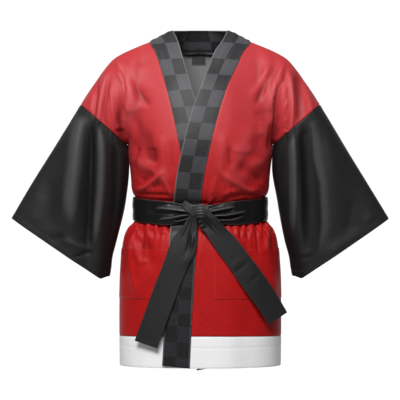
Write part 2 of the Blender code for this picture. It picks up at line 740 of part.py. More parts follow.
def collar_half(front):
    """Half the collar band: up the front's edge, over the shoulder and round to the middle of the neck."""
    side = front.side
    v_low = [0.0] + panel_rows(FRONT_HIGH_SHARES)[0]
    across = np.linspace(0, 1, BAND_COLUMNS)
    points_rows, normal_rows = [], []
    for v in v_low:
        seam = front.seam_q(v, -SEAM_GAP / 2)
        free = front.free_q(v)
        q = seam + (free - seam) * across
        points, normals = front.sample(v, q)
        if v == 0.0:
            points[:, 2] += BAND_END_RISE * across
        points_rows.append(points)
        normal_rows.append(normals)
    back_points, back_normals = collar_back(side, across)
    points_rows += back_points
    normal_rows += back_normals
    points, normals = np.array(points_rows), np.array(normal_rows)
    outer = points + normals * BAND_PROUD
    inner = points + normals * (BAND_PROUD - BAND_WALL)
    faces = plain_faces(len(points_rows), len(across))
    if side > 0:
        faces = flipped(faces)
    return add_wall(f"collar_{front.label}", outer, inner, faces, "check_cotton")


def collar_back(side, across):
    """The collar's rows behind the neck, from just past the shoulder seam to the centre. They start on the
    back's own neck seam."""
    places = [1 + share for share in column(BACK_HIGH_ROWS, 0) if share >= NECK_POINT_UP][::-1]
    seam = [BACK.at(v, neck_q(v, 0.0)) for v in places]
    rows, normals = [], []
    for k in range(1, len(places)):
        low, out = seam[k]
        last = k == len(places) - 1
        tangent = np.array((1.0, 0, 0)) if last else seam[k - 1][0] - seam[k + 1][0]
        inward = unit(np.cross(tangent, out))
        low = low + inward * SEAM_GAP * np.sign(inward[2])
        turn = math.atan2(low[1] / NECK_BACK, low[0] / NECK_HALF)
        top = np.array((
            COLLAR_TOP_HALF * math.cos(turn),
            COLLAR_TOP_BACK * math.sin(turn),
            COLLAR_TOP_SIDE_Z + (COLLAR_TOP_BACK_Z - COLLAR_TOP_SIDE_Z) * math.sin(turn),
        ))
        along = np.array((-COLLAR_TOP_HALF * math.sin(turn), COLLAR_TOP_BACK * math.cos(turn), 0))
        own = unit(np.cross(along, top - low))
        own = own * np.sign(own @ out)
        line = low + (top - low) * across[:, None]
        faced = out + (own - out) * across[:, None]
        if last:
            line[:, 0], faced[:, 0] = SEAM_GAP / 2, 0.0
        rows.append(line * (side, 1, 1))
        normals.append(unit(faced * (side, 1, 1)))
    return rows, normals


def armhole(side):
    """The armhole's ring of points, from the armpit round the front, over the top and back, and the
    outward directions in its plane."""
    half = SLEEVE_SIDES // 2
    turns = [math.pi * k / half for k in range(half + 1)]
    ring = [FRONT.at(1 + t / math.pi, side)[0] for t in turns]
    ring += [BACK.at(1 + t / math.pi, side)[0] for t in turns[-2:0:-1]]
    faced = [loop_normal(t, -1) for t in turns] + [loop_normal(t, 1) for t in turns[-2:0:-1]]
    ring, faced = np.array(ring), np.array(faced)
    faced[:, 0] *= side
    return ring, faced


def sleeve_push(points, share, folds, side, facing):
    """How far a sleeve's hanging folds push its points out, in front or behind."""
    push = np.zeros(len(points))
    for row in folds:
        f = dict(zip(SLEEVE_FOLD_COLUMNS, row))
        middle = f["x_top"] + (f["x_low"] - f["x_top"]) * share
        height = np.where(facing < 0, f["front"], f["back"])
        push += height * np.exp(-(((side * points[:, 0] - middle) / f["width"]) ** 2))
    return push * smooth_step(share, 0.0, 0.30) * (1 - 0.45 * smooth_step(share, 0.75, 1.0))


def sleeve(side):
    """A wide sleeve: rings from the armhole to the open cuff."""
    table = LEFT_SLEEVE if side > 0 else RIGHT_SLEEVE
    folds = LEFT_SLEEVE_FOLDS if side > 0 else RIGHT_SLEEVE_FOLDS
    first, first_normals = armhole(side)
    axis = ARM_AXIS * (side, 1, 1)
    half = SLEEVE_SIDES // 2
    turns = np.array([math.pi * k / half for k in range(SLEEVE_SIDES)])
    facing = np.where(np.sin(turns) >= -1e-9, -1.0, 1.0)
    first = first + axis * ARMHOLE_GAP
    outer, inner = [first], [first - first_normals * WALL]
    for share in np.linspace(0, 1, SLEEVE_RINGS)[1:]:
        top = np.array((side * smooth_table(share, table, 1), 0, smooth_table(share, table, 2)))
        low = np.array((side * smooth_table(share, table, 3), 0, smooth_table(share, table, 4)))
        deep = smooth_table(share, table, 5)
        wide, middle = np.linalg.norm(top - low) / 2, (top + low) / 2
        dir_across = unit(top - low)
        c, s = np.cos(turns), np.sin(turns)
        flat = -np.sign(c) * np.abs(c) ** 0.9 * wide
        depth = -np.sign(s) * np.abs(s) ** 0.9 * deep
        ring = middle + flat[:, None] * dir_across + depth[:, None] * np.array((0, 1, 0))
        faced = unit(-c[:, None] / wide * dir_across + (-s / deep)[:, None] * np.array((0, 1.0, 0)))
        push = sleeve_push(ring, share, folds, side, facing) * np.abs(s) ** 0.7
        ring = ring + push[:, None] * facing[:, None] * np.array((0, 1.0, 0))
        turned_up = SLEEVE_CORNER * smooth_step(share, 0.80, 1.0) * smooth_step(c, 0.88, 1.0)
        ring = ring - turned_up[:, None] * axis
        outer.append(ring)
        inner.append(ring - faced * WALL)
    faces = plain_faces(SLEEVE_RINGS, SLEEVE_SIDES, wrap=True)
    if side > 0:
        faces = flipped(faces)
    name = "sleeve_left" if side > 0 else "sleeve_right"
    return add_wall(name, np.array(outer), np.array(inner), faces, "black_cotton")


def neck_label():
    """A plain woven label on the inside of the back, between two of the back's own rows."""
    shares, _ = wave_columns(GATHER_WAVES_BACK, BACK_SEED)
    own_q = np.array([-shares[2], 0, shares[2]])
    rows = []
    for share in LABEL_SHARES:
        points, normals = BACK.at(1 + share, own_q)
        x = LABEL_X + LABEL_HALF * np.linspace(-1, 1, 3)
        x[1] = 0.0
        flat = np.stack([np.interp(x, points[:, 0], points[:, k]) for k in range(3)], axis=1)
        faced = np.stack([np.interp(x, points[:, 0], normals[:, k]) for k in range(3)], axis=1)
        rows.append((flat - unit(faced) * (WALL + SEAM_GAP), unit(faced)))
    near = np.array([points for points, _ in rows])
    far = np.array([points - normals * LABEL_WALL for points, normals in rows])
    return add_wall("neck_label", near, far, flipped(plain_faces(2, 3)), "label_weave")


def sash_path(count):
    """The sash's line round the waist: points, outward directions and X shares, as a closed ring."""
    v = height_to_v(WAIST_Z)
    front_q = np.linspace(-1, 1, count)
    front, front_n = FRONT.at(v, front_q)
    back, back_n = BACK.at(v, front_q[::-1][1:-1])
    points, normals = np.concatenate([front, back]), np.concatenate([front_n, back_n])
    normals[:, 2] = 0
    lift = np.zeros(len(points))
    lift[:count] = LAP * smooth_step(np.abs(front[:, 0]), LAP_NONE_X, LAP_FULL_X + LAP)
    return points + unit(normals) * (SASH_OFF + lift)[:, None], unit(normals)


def sash_wrap():
    """The sash round the waist, drawn in behind the knot."""
    path, normals = sash_path(SASH_COLUMNS)
    shares = np.linspace(0, 1, SASH_ROWS)
    low, high = SASH_LOW_Z - WAIST_Z, SASH_HIGH_Z - WAIST_Z
    rows_out, rows_in = [], []
    from_knot = np.where(path[:, 1] < 0, np.abs(path[:, 0] - KNOT_X), 1.0)
    near = smooth_step(from_knot, SASH_PINCH_REACH, SASH_PINCH_FULL)
    folded = smooth_step(from_knot, SASH_FOLD_REACH, SASH_PINCH_FULL)
    for share in shares:
        full = low + (high - low) * share
        drawn = (KNOT_Z - WAIST_Z + WAIST_DIP) + SASH_PINCH_HALF * (2 * share - 1)
        points = path.copy()
        points[:, 2] += full + (drawn - full) * near
        ridge = SASH_RIDGE * folded * (1 + math.cos(2 * math.pi * SASH_FOLDS * share)) / 2
        rows_in.append(points + normals * ridge[:, None])
        rows_out.append(points + normals * (ridge + SASH_WALL)[:, None])
    faces = plain_faces(len(shares), len(path), wrap=True)
    return add_wall("sash_wrap", np.array(rows_out), np.array(rows_in), faces, "black_cotton")


def knot():
    """The knot: a ridged bundle turned over the front of the sash, closed at both ends."""
    turn = np.linspace(0, 2 * math.pi, KNOT_SIDES, endpoint=False)
    made = []
    for share in np.linspace(0, 1, KNOT_RINGS):
        bend = math.pi / 2 + KNOT_TURN * (share - 0.5)
        swell = math.sin(math.pi * (0.14 + 0.72 * share)) ** 0.5
        wide = KNOT_WIDTH / 2 * (0.80 + 0.20 * swell)
        ripple = 1 + KNOT_RIDGE * np.cos(2 * KNOT_RIDGES * turn)
        radius = KNOT_RADIUS + np.sin(turn) * KNOT_THICK / 2 * swell * ripple
        x = KNOT_X + np.cos(turn) * wide
        made.append(np.stack([x, -radius * math.sin(bend), KNOT_Z + radius * math.cos(bend)], axis=1))
    points = np.concatenate(made)
    sash_front = FRONT.at(height_to_v(WAIST_Z), 0.0)[0][1] - LAP - SASH_OFF - SASH_RIDGE - SASH_WALL
    points[:, 1] += sash_front - SEAM_GAP - points[:, 1].max()
    faces = plain_faces(KNOT_RINGS, KNOT_SIDES, wrap=True)
    faces.append(list(range(KNOT_SIDES))[::-1])
    faces.append(list(range((KNOT_RINGS - 1) * KNOT_SIDES, KNOT_RINGS * KNOT_SIDES)))
    return add_object("sash_knot", points, faces, "black_cotton")


def support_y(x, z):
    """The Y on which a sash end lies in front of the skirt, running straight on past the hip."""
    half = smooth_table(z, BODY_SECTIONS, 1) + SUPPORT_OFF
    deep = smooth_table(z, BODY_SECTIONS, 2) + SUPPORT_OFF
    half, deep = np.maximum(half, SUPPORT_HALF), np.maximum(deep, SUPPORT_DEPTH)
    held = np.minimum(np.abs(x), SUPPORT_EDGE_X)
    left = 1 - (held / half) ** SECTION_POWER
    y = -deep * left ** (1 / SECTION_POWER)
    slope = deep / half * (held / half) ** (SECTION_POWER - 1) * left ** (1 / SECTION_POWER - 1)
    return y + slope * (np.abs(x) - held)


def sash_end(name, run, lean):
    """One hanging end of the sash: pinched at the knot, flat and square at its foot."""
    start, finish = np.array(run[:2]), np.array(run[2:])
    along = finish - start
    length = float(np.hypot(*along))
    side = np.array((-along[1], along[0])) / length
    rows_out, rows_in = [], []
    across = np.linspace(-1, 1, END_COLUMNS)
    for share in np.linspace(0, 1, END_ROWS):
        full = END_PINCH + (1 - END_PINCH) * smooth_step(share, 0.0, END_PINCH_REACH)
        bow = END_BOW * lean * math.sin(math.pi * share)
        place = start + along * share + side * bow
        x = place[0] + side[0] * across * SASH_WIDTH / 2 * full
        z = place[1] + side[1] * across * SASH_WIDTH / 2 * full
        folded = (1 - full) / (1 - END_PINCH)
        y = support_y(x, z) - END_FOLD * folded * (1 + np.cos(END_FOLDS * math.pi * across))
        points = np.stack([x, y, z], axis=1)
        rows_in.append(points)
        rows_out.append(points - np.array((0, SASH_WALL, 0)))
    faces = plain_faces(END_ROWS, END_COLUMNS)
    if np.cross(np.append(side, 0), np.append(along, 0))[2] < 0:
        faces = flipped(faces)
    return add_wall(name, np.array(rows_out), np.array(rows_in), faces, "black_cotton")


def clear_scene():
    """Removes what the scene already holds."""
    for thing in list(bpy.data.objects):
        bpy.data.objects.remove(thing, do_unlink=True)


def main():
    clear_scene()
    fronts = [Front(1), Front(-1)]
    for front in fronts:
        front.panel()
        front.hem_band()
        front.pocket()
        collar_half(front)
    v_values, fine = panel_rows(column(BACK_HIGH_ROWS, 0))
    back_piece("back", v_values, fine, "red_cotton")
    back_piece("hem_band_back", [0.0, height_to_v(CONTRAST_Z) / 2, height_to_v(CONTRAST_Z - SEAM_GAP)],
               [False] * 3, "white_cotton")
    sleeve(1)
    sleeve(-1)
    neck_label()
    sash_wrap()
    knot()
    sash_end("sash_end_left", LEFT_END, 1)
    sash_end("sash_end_right", RIGHT_END, -1)


main()
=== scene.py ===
"""Happi coat, worn-out hollow form: its cloth, folds, seams, stitching, tied sash and finishes.

Everything is in metres, +Z up. The front of the coat faces -Y and the wearer's left is +X. The origin
lies on the shoulder line, midway between the two sides of the neck. Every sheet of cloth follows the
same two skins, front and back, that its solid was lofted from, and carries its own creases.
"""

import logging
import math
from dataclasses import dataclass
from enum import Enum
from typing import Any, Dict, List, Optional, Sequence, Tuple, Union

import bpy
import numpy as np
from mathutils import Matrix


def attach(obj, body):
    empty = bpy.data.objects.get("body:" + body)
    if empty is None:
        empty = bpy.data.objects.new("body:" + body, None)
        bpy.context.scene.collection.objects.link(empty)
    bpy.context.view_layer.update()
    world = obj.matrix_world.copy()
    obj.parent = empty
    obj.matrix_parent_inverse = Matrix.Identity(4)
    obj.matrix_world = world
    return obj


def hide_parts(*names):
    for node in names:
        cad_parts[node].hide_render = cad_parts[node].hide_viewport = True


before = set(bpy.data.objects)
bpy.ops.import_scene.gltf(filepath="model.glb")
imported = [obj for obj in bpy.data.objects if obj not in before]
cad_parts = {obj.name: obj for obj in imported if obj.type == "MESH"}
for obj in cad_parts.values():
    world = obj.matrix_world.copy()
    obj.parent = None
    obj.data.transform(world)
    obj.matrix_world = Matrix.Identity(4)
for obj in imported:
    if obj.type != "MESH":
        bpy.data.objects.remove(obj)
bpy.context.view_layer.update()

Array = np.ndarray
Number = Union[float, Array]
Row = Tuple[float, ...]
Table = Tuple[Row, ...]
# Creases: how far each is felt on its inner or lower side and on its outer or upper side, its height
# outwards, and X and Z by turns of the points along it, seen from the front on the wearer's left
Strokes = Tuple[Tuple[float, ...], ...]
Colour = Tuple[float, float, float]

# Cloth and seams
CLOTH = 0.0012
BAND_CLOTH = 0.0028
BAND_PROUD = 0.0005
SASH_CLOTH = 0.0022
HEM_CLOTH, SLEEVE_CLOTH, POCKET_CLOTH, KNOT_CLOTH = 0.0018, 0.0014, 0.0008, 0.0012
SEAM_GAP = 0.0003
LAP = 0.006  # how far the upper front stands off the under front
SEAM_PULL = 0.0009  # how far a seam draws the cloth in
ALLOWANCE = 0.003  # how far a seam's allowance runs on under its neighbour
HEM_STITCH_DROP = 0.022  # how far below the hem's seam its stitches run
STITCH_LIFT = 0.0001  # how far thread lies off its cloth

# Heights, measured from the shoulder line at the neck
HEM_Z = -0.758
CONTRAST_Z = -0.689  # where the white hem band joins the red cloth
ARMPIT_Z = -0.236
SASH_LOW_Z, SASH_HIGH_Z = -0.4175, -0.363
WAIST_Z = -0.39
WAIST_DIP = 0.013  # how far the waist hangs lower in front
DIP_STARTS, DIP_FULL = -0.5, -0.43
DIP_EASES, DIP_ENDS = -0.34, -0.27
CONTRAST_RISE = 0.005
RISE_ENDS = -0.6

SECTION_POWER = 2.35  # squareness of the body's sections

# Body sections below the arms: height, half width, depth in front, depth behind
BODY_SECTIONS: Table = (
    (HEM_Z, 0.19, 0.129, 0.133),
    (-0.64, 0.191, 0.129, 0.135),
    (-0.56, 0.1895, 0.1275, 0.135),
    (-0.5, 0.186, 0.124, 0.131),
    (-0.46, 0.18, 0.119, 0.123),
    (-0.436, 0.17, 0.1125, 0.112),
    (-0.424, 0.1575, 0.1035, 0.1025),
    (SASH_LOW_Z, 0.1535, 0.101, 0.1),
    (WAIST_Z, 0.152, 0.1, 0.0985),
    (SASH_HIGH_Z, 0.1535, 0.1015, 0.1),
    (-0.354, 0.1585, 0.1095, 0.106),
    (-0.336, 0.1625, 0.1195, 0.113),
    (-0.318, 0.1632, 0.124, 0.1147),
    (-0.3, 0.1648, 0.128, 0.116),
    (-0.28, 0.167, 0.1308, 0.1169),
    (-0.262, 0.169, 0.132, 0.1174),
    (-0.245, 0.1705, 0.1318, 0.1175),
    (-0.236, 0.1709, 0.1315, 0.1175),
)

# Sections over the shoulders: share of the way up the armhole, depth and height on the centre line,
# front then back, and how deep the crease between chest and arm is
SHOULDER_SECTIONS: Table = (
    (0.0, 0.1315, -0.236, 0.1175, -0.236, 0.0),
    (0.25, 0.116, -0.172, 0.1145, -0.165, 0.009),
    (0.5, 0.091, -0.1, 0.105, -0.085, 0.01),
    (0.66, 0.067, -0.055, 0.09, -0.0165, 0.008),
    (0.85, 0.029, 0.01, 0.045, 0.03, 0.004),
    (1.0, 0.0, 0.045, 0.0, 0.045, 0.0),
)
NECK_POINT_UP = 0.66

# The shoulder line's fall: share of the way from the centre to the sleeve seam, share of the fall
SHOULDER_FALL: Table = (
    (0.0, 0.0),
    (0.234, 0.085),
    (0.418, 0.216),
    (0.511, 0.272),
    (0.631, 0.35),
    (0.723, 0.43),
    (0.807, 0.57),
    (0.878, 0.722),
    (0.945, 0.868),
    (1.0, 1.0),
)

# Armhole, seen from the front as a straight line from armpit to shoulder
ARMPIT: Array = np.array((0.171, 0.0, -0.241))
SHOULDER_TIP: Array = np.array((0.282, 0.0, -0.145))
ARM_DEPTH = 0.068
ARM_FROM_X, ARM_FULL_X = 0.1, 0.168
TORSO_HALF, TORSO_WIDENS = 0.17, 0.008
CREASE_X, CREASE_WIDTH = 0.174, 0.013

# Neck
NECK_HALF, NECK_BACK = 0.118, 0.09
COLLAR_TOP_HALF, COLLAR_TOP_BACK = 0.064, 0.062
COLLAR_TOP_SIDE_Z, COLLAR_TOP_BACK_Z = 0.028, 0.034

# Front band, seen from the front: height, X of its seam edge, X of its free edge
UPPER_BAND: Table = (
    (0.03, 0.118, 0.064),
    (0.002, 0.118, 0.05),
    (-0.022, 0.101, 0.0335),
    (-0.05, 0.0885, 0.023),
    (-0.11, 0.0605, 0.001),
    (-0.16, 0.044, -0.017),
    (-0.203, 0.0325, -0.029),
    (-0.25, 0.0215, -0.0405),
    (-0.305, 0.01, -0.052),
    (-0.37, 0.001, -0.061),
    (-0.45, -0.007, -0.069),
    (-0.6, -0.017, -0.079),
    (-0.77, -0.025, -0.087),
)
UNDER_BAND: Table = (
    (0.03, 0.118, 0.064),
    (0.002, 0.118, 0.052),
    (-0.022, 0.106, 0.045),
    (-0.05, 0.096, 0.037),
    (-0.108, 0.079, 0.021),
    (-0.16, 0.0655, 0.005),
    (-0.203, 0.056, -0.0045),
    (-0.264, 0.044, -0.017),
    (-0.33, 0.032, -0.029),
    (-0.4, 0.022, -0.039),
    (-0.6, 0.013, -0.048),
    (-0.77, 0.008, -0.053),
)
BAND_END_RISE = 0.006
LAP_FULL_X, LAP_NONE_X = 0.06, 0.115
LAP_NONE_Z, LAP_FULL_Z = -0.06, -0.112

# Places seen on the front are given by column and row on a grid of square cells laid over it. A cell covers
# more of a piece that lies further back, so its side in metres goes with the piece
GRID_COLUMN, GRID_ROW, GRID_Z = 200.3, 200, -0.3705  # the centre line, and the row that lies at this height
CELL_SHOULDER, CELL_CHEST, CELL_FRONT = 0.002332, 0.002315, 0.002299
CELL_SLEEVE, CELL_SASH, CELL_END, CELL_CHECKS = 0.002325, 0.002306, 0.002296, 0.002298
CELL_REACH = 0.00231  # turns the reaches of every crease into metres
SHOULDER_ROW, CHEST_ROW, SIDE_COLUMNS = 108, 135, 78
MILLIMETRES = 1000  # in a metre
PLACE_DIGITS = 4  # places are taken to a tenth of a millimetre


def front_cell(column: float, row: float) -> float:
    """Side of a cell on the fronts, which fall back towards the shoulders and the sides."""
    if abs(column - GRID_ROW) > SIDE_COLUMNS or row < SHOULDER_ROW:
        return CELL_SHOULDER
    return CELL_CHEST if row < CHEST_ROW else CELL_FRONT


def place(column: float, row: float, cell: float) -> Tuple[float, float]:
    """X and Z of a place on the grid, for cells of a given side."""
    x, z = (column - GRID_COLUMN) * cell, GRID_Z + (GRID_ROW - row) * cell
    return round(x, PLACE_DIGITS), round(z, PLACE_DIGITS)


def on_front(rows: Strokes, side: int, cell: float = 0.0) -> Strokes:
    """Creases in metres, from creases placed on the grid.

    Args:
        rows: Two reaches in cells, the height in millimetres, and columns and rows by turns, of each crease.
        side: 1 for the wearer's left, -1 for the right.
        cell: Side of a cell, or 0 for the fronts, where it changes with the place.

    Returns:
        The creases, with X growing away from the centre line.
    """
    creases = []
    for inner, outer, height, *places in rows:
        crease = [*(round(reach * CELL_REACH, PLACE_DIGITS) for reach in (inner, outer))]
        crease.append(round(height / MILLIMETRES, PLACE_DIGITS))
        for column, row in zip(places[::2], places[1::2]):
            x, z = place(column, row, cell or front_cell(column, row))
            crease += [side * x, z]
        creases.append(tuple(crease))
    return tuple(creases)


def end_edges(rows: Table) -> Table:
    """X and Z of both edges of a hanging end, from its shares, columns and rows."""
    return tuple((share, *place(*near, CELL_END), *place(*far, CELL_END))
                 for share, near, far in ((row[0], row[1:3], row[3:]) for row in rows))


# The band's check: rows of the grid at which its squares give way to the next, from the shoulder down
CHECK_ROWS: Row = (
    40, 56.9, 73.4, 89.3, 106.4, 122.9, 139.5, 156, 172.5, 189, 205.5, 219.1, 232.6, 246.2, 259.8, 273.3,
    286.9, 299.7, 313, 326.3, 342.1, 357.2,
)
CHECK_HEIGHTS: Row = tuple(place(GRID_COLUMN, row, CELL_CHECKS)[1] for row in CHECK_ROWS)
SQUARES_ACROSS = 1.9998  # a hair under two, so that the band's last edge stays in its second square
FIRST_SQUARE = 40  # the number that the square at the shoulder gets
SQUARE_ABOVE, SQUARE_BELOW = 0.06, 0.034  # height of the squares past the listed ones
CHECK_TILT = 0.0045  # how much lower a row of squares lies at the seam than at the free edge
BACK_CHECKS = 3.0  # rows of squares from the shoulder to the middle of the neck

# Gathers under and over the sash: height, wave height
GATHERS: Table = (
    (-0.512, 0.0),
    (-0.482, 0.0002),
    (-0.46, 0.0006),
    (-0.44, 0.0011),
    (-0.427, 0.001),
    (SASH_LOW_Z, 0.0005),
    (SASH_HIGH_Z, 0.0004),
    (-0.352, 0.0006),
    (-0.325, 0.0),
)
GATHER_WAVES_FRONT, GATHER_WAVES_BACK = 17, 16

# Folds and creases of the fronts and back: X and Z of both ends, seen from the front on the wearer's
# left, half width, height outwards
LEFT_FRONT_FOLDS: Table = (
    (0.205, -0.07, 0.14, -0.25, 0.014, 0.004),
    (0.165, -0.25, 0.085, -0.33, 0.016, 0.005),
    (0.12, -0.19, 0.06, -0.34, 0.018, 0.0035),
    (0.15, -0.47, 0.165, -0.59, 0.018, 0.0032),
    (0.105, -0.47, 0.12, -0.54, 0.012, -0.003),
)
LEFT_FRONT_CREASES = on_front((
    # pull from shoulder to armpit
    (3, 2.2, 5, 282.5, 66, 275.5, 84, 271, 100, 270, 108),
    (4, 4, 2.8, 269, 66, 259, 84.4, 252, 96),
    (3, 3, -3.5, 271.5, 70, 264.5, 86.7, 256, 104),
    (1.8, 5, -5.5, 287, 68, 284, 79, 279.5, 87, 277, 98, 275.5, 111, 274.5, 124, 274, 142),
    # drapes of the arm
    (2.2, 2.8, 5.5, 289, 72, 291.5, 88.9, 292.4, 102, 292, 117.8, 289.8, 136),
    (3.5, 4.5, -5, 297, 72, 299, 96, 298.5, 122),
    (2.5, 3, 3, 305, 82, 310.5, 102, 312, 114),
    (1.2, 1.6, 2, 287.5, 101, 283, 112, 277.5, 128),
    (1.2, 1.2, 1.6, 285.2, 119, 283, 127),
    # bunching at the armpit
    (1.5, 1.5, 2, 283, 131.5, 290, 132),
    (4.76, 3.46, -1.6, 255, 114.6, 265, 112.2, 272, 112),
    (3.5, 4, 2, 261, 121, 260.5, 134),
    (2, 2.5, -2.5, 269.5, 124, 269, 150),
    # chest
    (6, 5, -3.5, 259, 136, 261, 160),
    (5, 4.5, 3, 224, 136, 221, 155, 218.5, 174),
    (2, 3.5, -3.2, 228.5, 148, 229.5, 166),
    (2.5, 6, 2.2, 232, 150, 246, 151.5, 253, 148),
    # cloth bloused over the sash
    (5, 7, -4.5, 238, 166, 250, 172, 262, 180),
    (0.9, 0.9, 1.2, 240, 168, 250, 175, 258, 181.5, 265, 186),
    (2.6, 3.4, 4.5, 222, 173, 230, 180, 240, 186, 250, 190.5, 258, 189.5),
    (1.8, 2.2, 2.5, 222, 194, 230, 190.5, 238, 190),
    (1.6, 1.8, -3.2, 222, 200, 232, 195, 246, 193.8, 264, 196),
    (3, 3, 2.5, 216, 176, 212.5, 188, 208.5, 201),
    (1.3, 1.3, 2.2, 213, 195, 207, 204),
    (1.2, 1.2, -2, 216, 197, 210, 204.5),
    # skirt, drawn in under the sash
    (1.6, 1.6, 2, 227, 223, 229, 232),
    (2.5, 2.5, 3.2, 235.5, 221, 236.5, 237),
    (1, 1, -2.2, 240, 221, 240.5, 240),
    (1.6, 1.6, 2.6, 243.3, 221, 243.6, 237),
    (1, 1.2, -2.2, 247, 221, 248, 241),
    (1.8, 1.8, 2.8, 251.3, 220, 251.5, 237),
    (1.6, 1.2, -3, 256.3, 220, 258.5, 256),
    (1.2, 1.2, 2.4, 260.8, 220, 261.5, 237),
    (1, 1, -2, 263.8, 220, 264, 232),
    (3, 3.2, 3.5, 267, 219, 268.5, 234, 266.5, 250),
    # skirt
    (2.5, 2.5, 1.8, 247.5, 238, 251, 254),
    (2, 2, -2, 272, 228, 274, 262),
    (2.5, 2.5, 1.5, 271, 268, 275, 296),
    (3, 3, 1.2, 203, 230, 201, 262),
), 1)
RIGHT_FRONT_FOLDS: Table = (
    (0.195, -0.08, 0.15, -0.24, 0.014, 0.0045),
    (0.16, -0.27, 0.07, -0.325, 0.015, 0.0055),
    (0.13, -0.2, 0.095, -0.32, 0.018, -0.0035),
    (0.158, -0.46, 0.14, -0.6, 0.02, 0.0032),
    (0.125, -0.455, 0.112, -0.53, 0.012, -0.0035),
)
RIGHT_FRONT_CREASES = on_front((
    # pull from shoulder to armpit
    (6.5, 2.6, 6.5, 119, 63, 126, 77, 128.5, 90, 129, 100, 127.5, 112),
    (2.2, 6, -5.5, 115, 74, 119.5, 84, 121.5, 96, 122, 108, 121, 120, 124, 142),
    (2, 2, 2, 116.5, 60, 119, 71),
    (4, 5, -4, 128.8, 72, 137.5, 90, 149, 106),
    (8, 7, 2.5, 140, 66, 146, 90),
    # drapes of the arm
    (2, 3.6, 6, 107, 72, 103, 90, 101, 102.5, 98.8, 120, 97.5, 134),
    (1.5, 1.5, -3, 108.5, 80, 107.5, 90, 104.8, 105, 106, 120, 109, 131),
    (3, 2.5, 2.8, 110.5, 86, 112.5, 110, 115, 127),
    (2.5, 3, 2.5, 92.5, 92, 91, 112),
    (1.8, 2.2, -4, 98, 82, 96.5, 100, 94.5, 122),
    # bunching at the armpit
    (2.16, 3.46, 1.8, 124, 127.5, 116, 127),
    (1.73, 1.73, -1.4, 124, 131, 115, 131.5),
    # chest
    (7, 6, -4, 136, 116, 134, 148),
    (3, 8, 2.5, 147, 106, 126, 111),
    (5, 5, -3.5, 152, 148, 151, 162),
    (5, 5, 3, 160, 138, 162, 160, 163, 178),
    (2.5, 2.5, -1.5, 171, 144, 172, 168),
    (2.5, 2, -3.5, 138, 147, 136, 158, 134, 168),
    # cloth bloused over the sash
    (2, 2.8, 4.5, 163, 173, 157, 178, 150, 183, 144, 187.5, 136, 190.5),
    (4, 5, -3.5, 152, 172, 141, 181),
    (3, 3, -3, 160, 184, 152, 188),
    (2.5, 2.5, 3.5, 163, 177, 167, 186, 172, 196),
    (1.5, 1.5, -3, 170, 195, 155, 194.5, 138, 193.5),
    # skirt, drawn in under the sash
    (2.2, 2.2, 3, 135, 221, 137, 230, 139.5, 238),
    (2.2, 2.2, 3.2, 147.5, 222, 148, 232, 149.5, 240),
    (1.5, 1.5, -2.5, 143, 221, 142, 240),
    (1.2, 1.2, -2.2, 152, 221, 153, 236),
    (1.8, 1.8, 2.5, 155.5, 221, 156, 233),
    (1, 1, -2, 159, 221, 159.5, 236),
    (3.2, 3.2, 3, 164, 221, 165, 234),
    (1.2, 1.2, -2, 169, 221, 169, 232),
    (5, 5, 1.2, 162, 236, 161, 262),
    # skirt
    (3, 3.2, 4, 134, 232, 131, 245, 130, 260, 132, 275, 135, 288, 137.5, 297),
    (1.8, 1.8, 2.5, 134, 241, 136.5, 254, 139.5, 264),
    (1.8, 1.8, 2, 147, 261.5, 139, 264),
    (3.5, 2, -3, 140, 240, 142, 258),
), -1)
BACK_FOLDS: Table = (
    (0.15, -0.21, 0.075, -0.32, 0.018, 0.0045),
    (0.12, -0.12, 0.085, -0.33, 0.022, -0.003),
    (0.02, -0.27, 0.06, -0.345, 0.016, 0.004),
    (0.11, -0.46, 0.13, -0.62, 0.017, 0.0045),
    (0.045, -0.46, 0.04, -0.6, 0.017, -0.0035),
)
# What differs between the two halves of the back
BACK_LEFT_CREASES: Strokes = (
    (0.014, 0.006, 0.0055, 0.19, -0.06, 0.18, -0.12, 0.175, -0.19),
    (0.005, 0.012, -0.005, 0.206, -0.075, 0.192, -0.13, 0.186, -0.2, 0.176, -0.24),
    (0.006, 0.008, 0.005, 0.236, -0.1, 0.228, -0.15, 0.224, -0.21),
    (0.006, 0.007, -0.0036, 0.252, -0.115, 0.242, -0.175),
    (0.01, 0.012, -0.0034, 0.16, -0.07, 0.138, -0.12, 0.108, -0.165),
    (0.004, 0.003, 0.0022, 0.201, -0.15, 0.187, -0.22),
    (0.015, 0.015, 0.0022, 0.095, -0.13, 0.09, -0.23, 0.08, -0.28),
    (0.006, 0.009, 0.0046, 0.05, -0.33, 0.1, -0.312, 0.156, -0.285),
    (0.004, 0.006, -0.0036, 0.07, -0.342, 0.12, -0.334, 0.155, -0.32),
    (0.004, 0.005, 0.0022, 0.08, -0.296, 0.135, -0.268),
    (0.006, 0.006, 0.003, 0.022, -0.295, 0.018, -0.335, 0.026, -0.362),
    (0.0035, 0.0035, -0.0028, 0.036, -0.362, 0.138, -0.36),
    (0.006, 0.006, 0.0036, 0.154, -0.42, 0.158, -0.47, 0.15, -0.56),
    (0.0034, 0.0034, -0.003, 0.143, -0.42, 0.146, -0.47),
    (0.005, 0.005, 0.0032, 0.132, -0.42, 0.129, -0.475),
    (0.0026, 0.0026, -0.0026, 0.118, -0.42, 0.116, -0.46),
    (0.004, 0.004, 0.003, 0.106, -0.42, 0.108, -0.49),
    (0.003, 0.004, -0.0028, 0.091, -0.42, 0.09, -0.465),
    (0.005, 0.005, 0.0028, 0.076, -0.42, 0.074, -0.47),
    (0.0026, 0.0026, -0.0024, 0.06, -0.42, 0.061, -0.456),
    (0.004, 0.004, 0.0026, 0.045, -0.42, 0.043, -0.48),
    (0.003, 0.003, -0.0022, 0.026, -0.42, 0.027, -0.46),
)
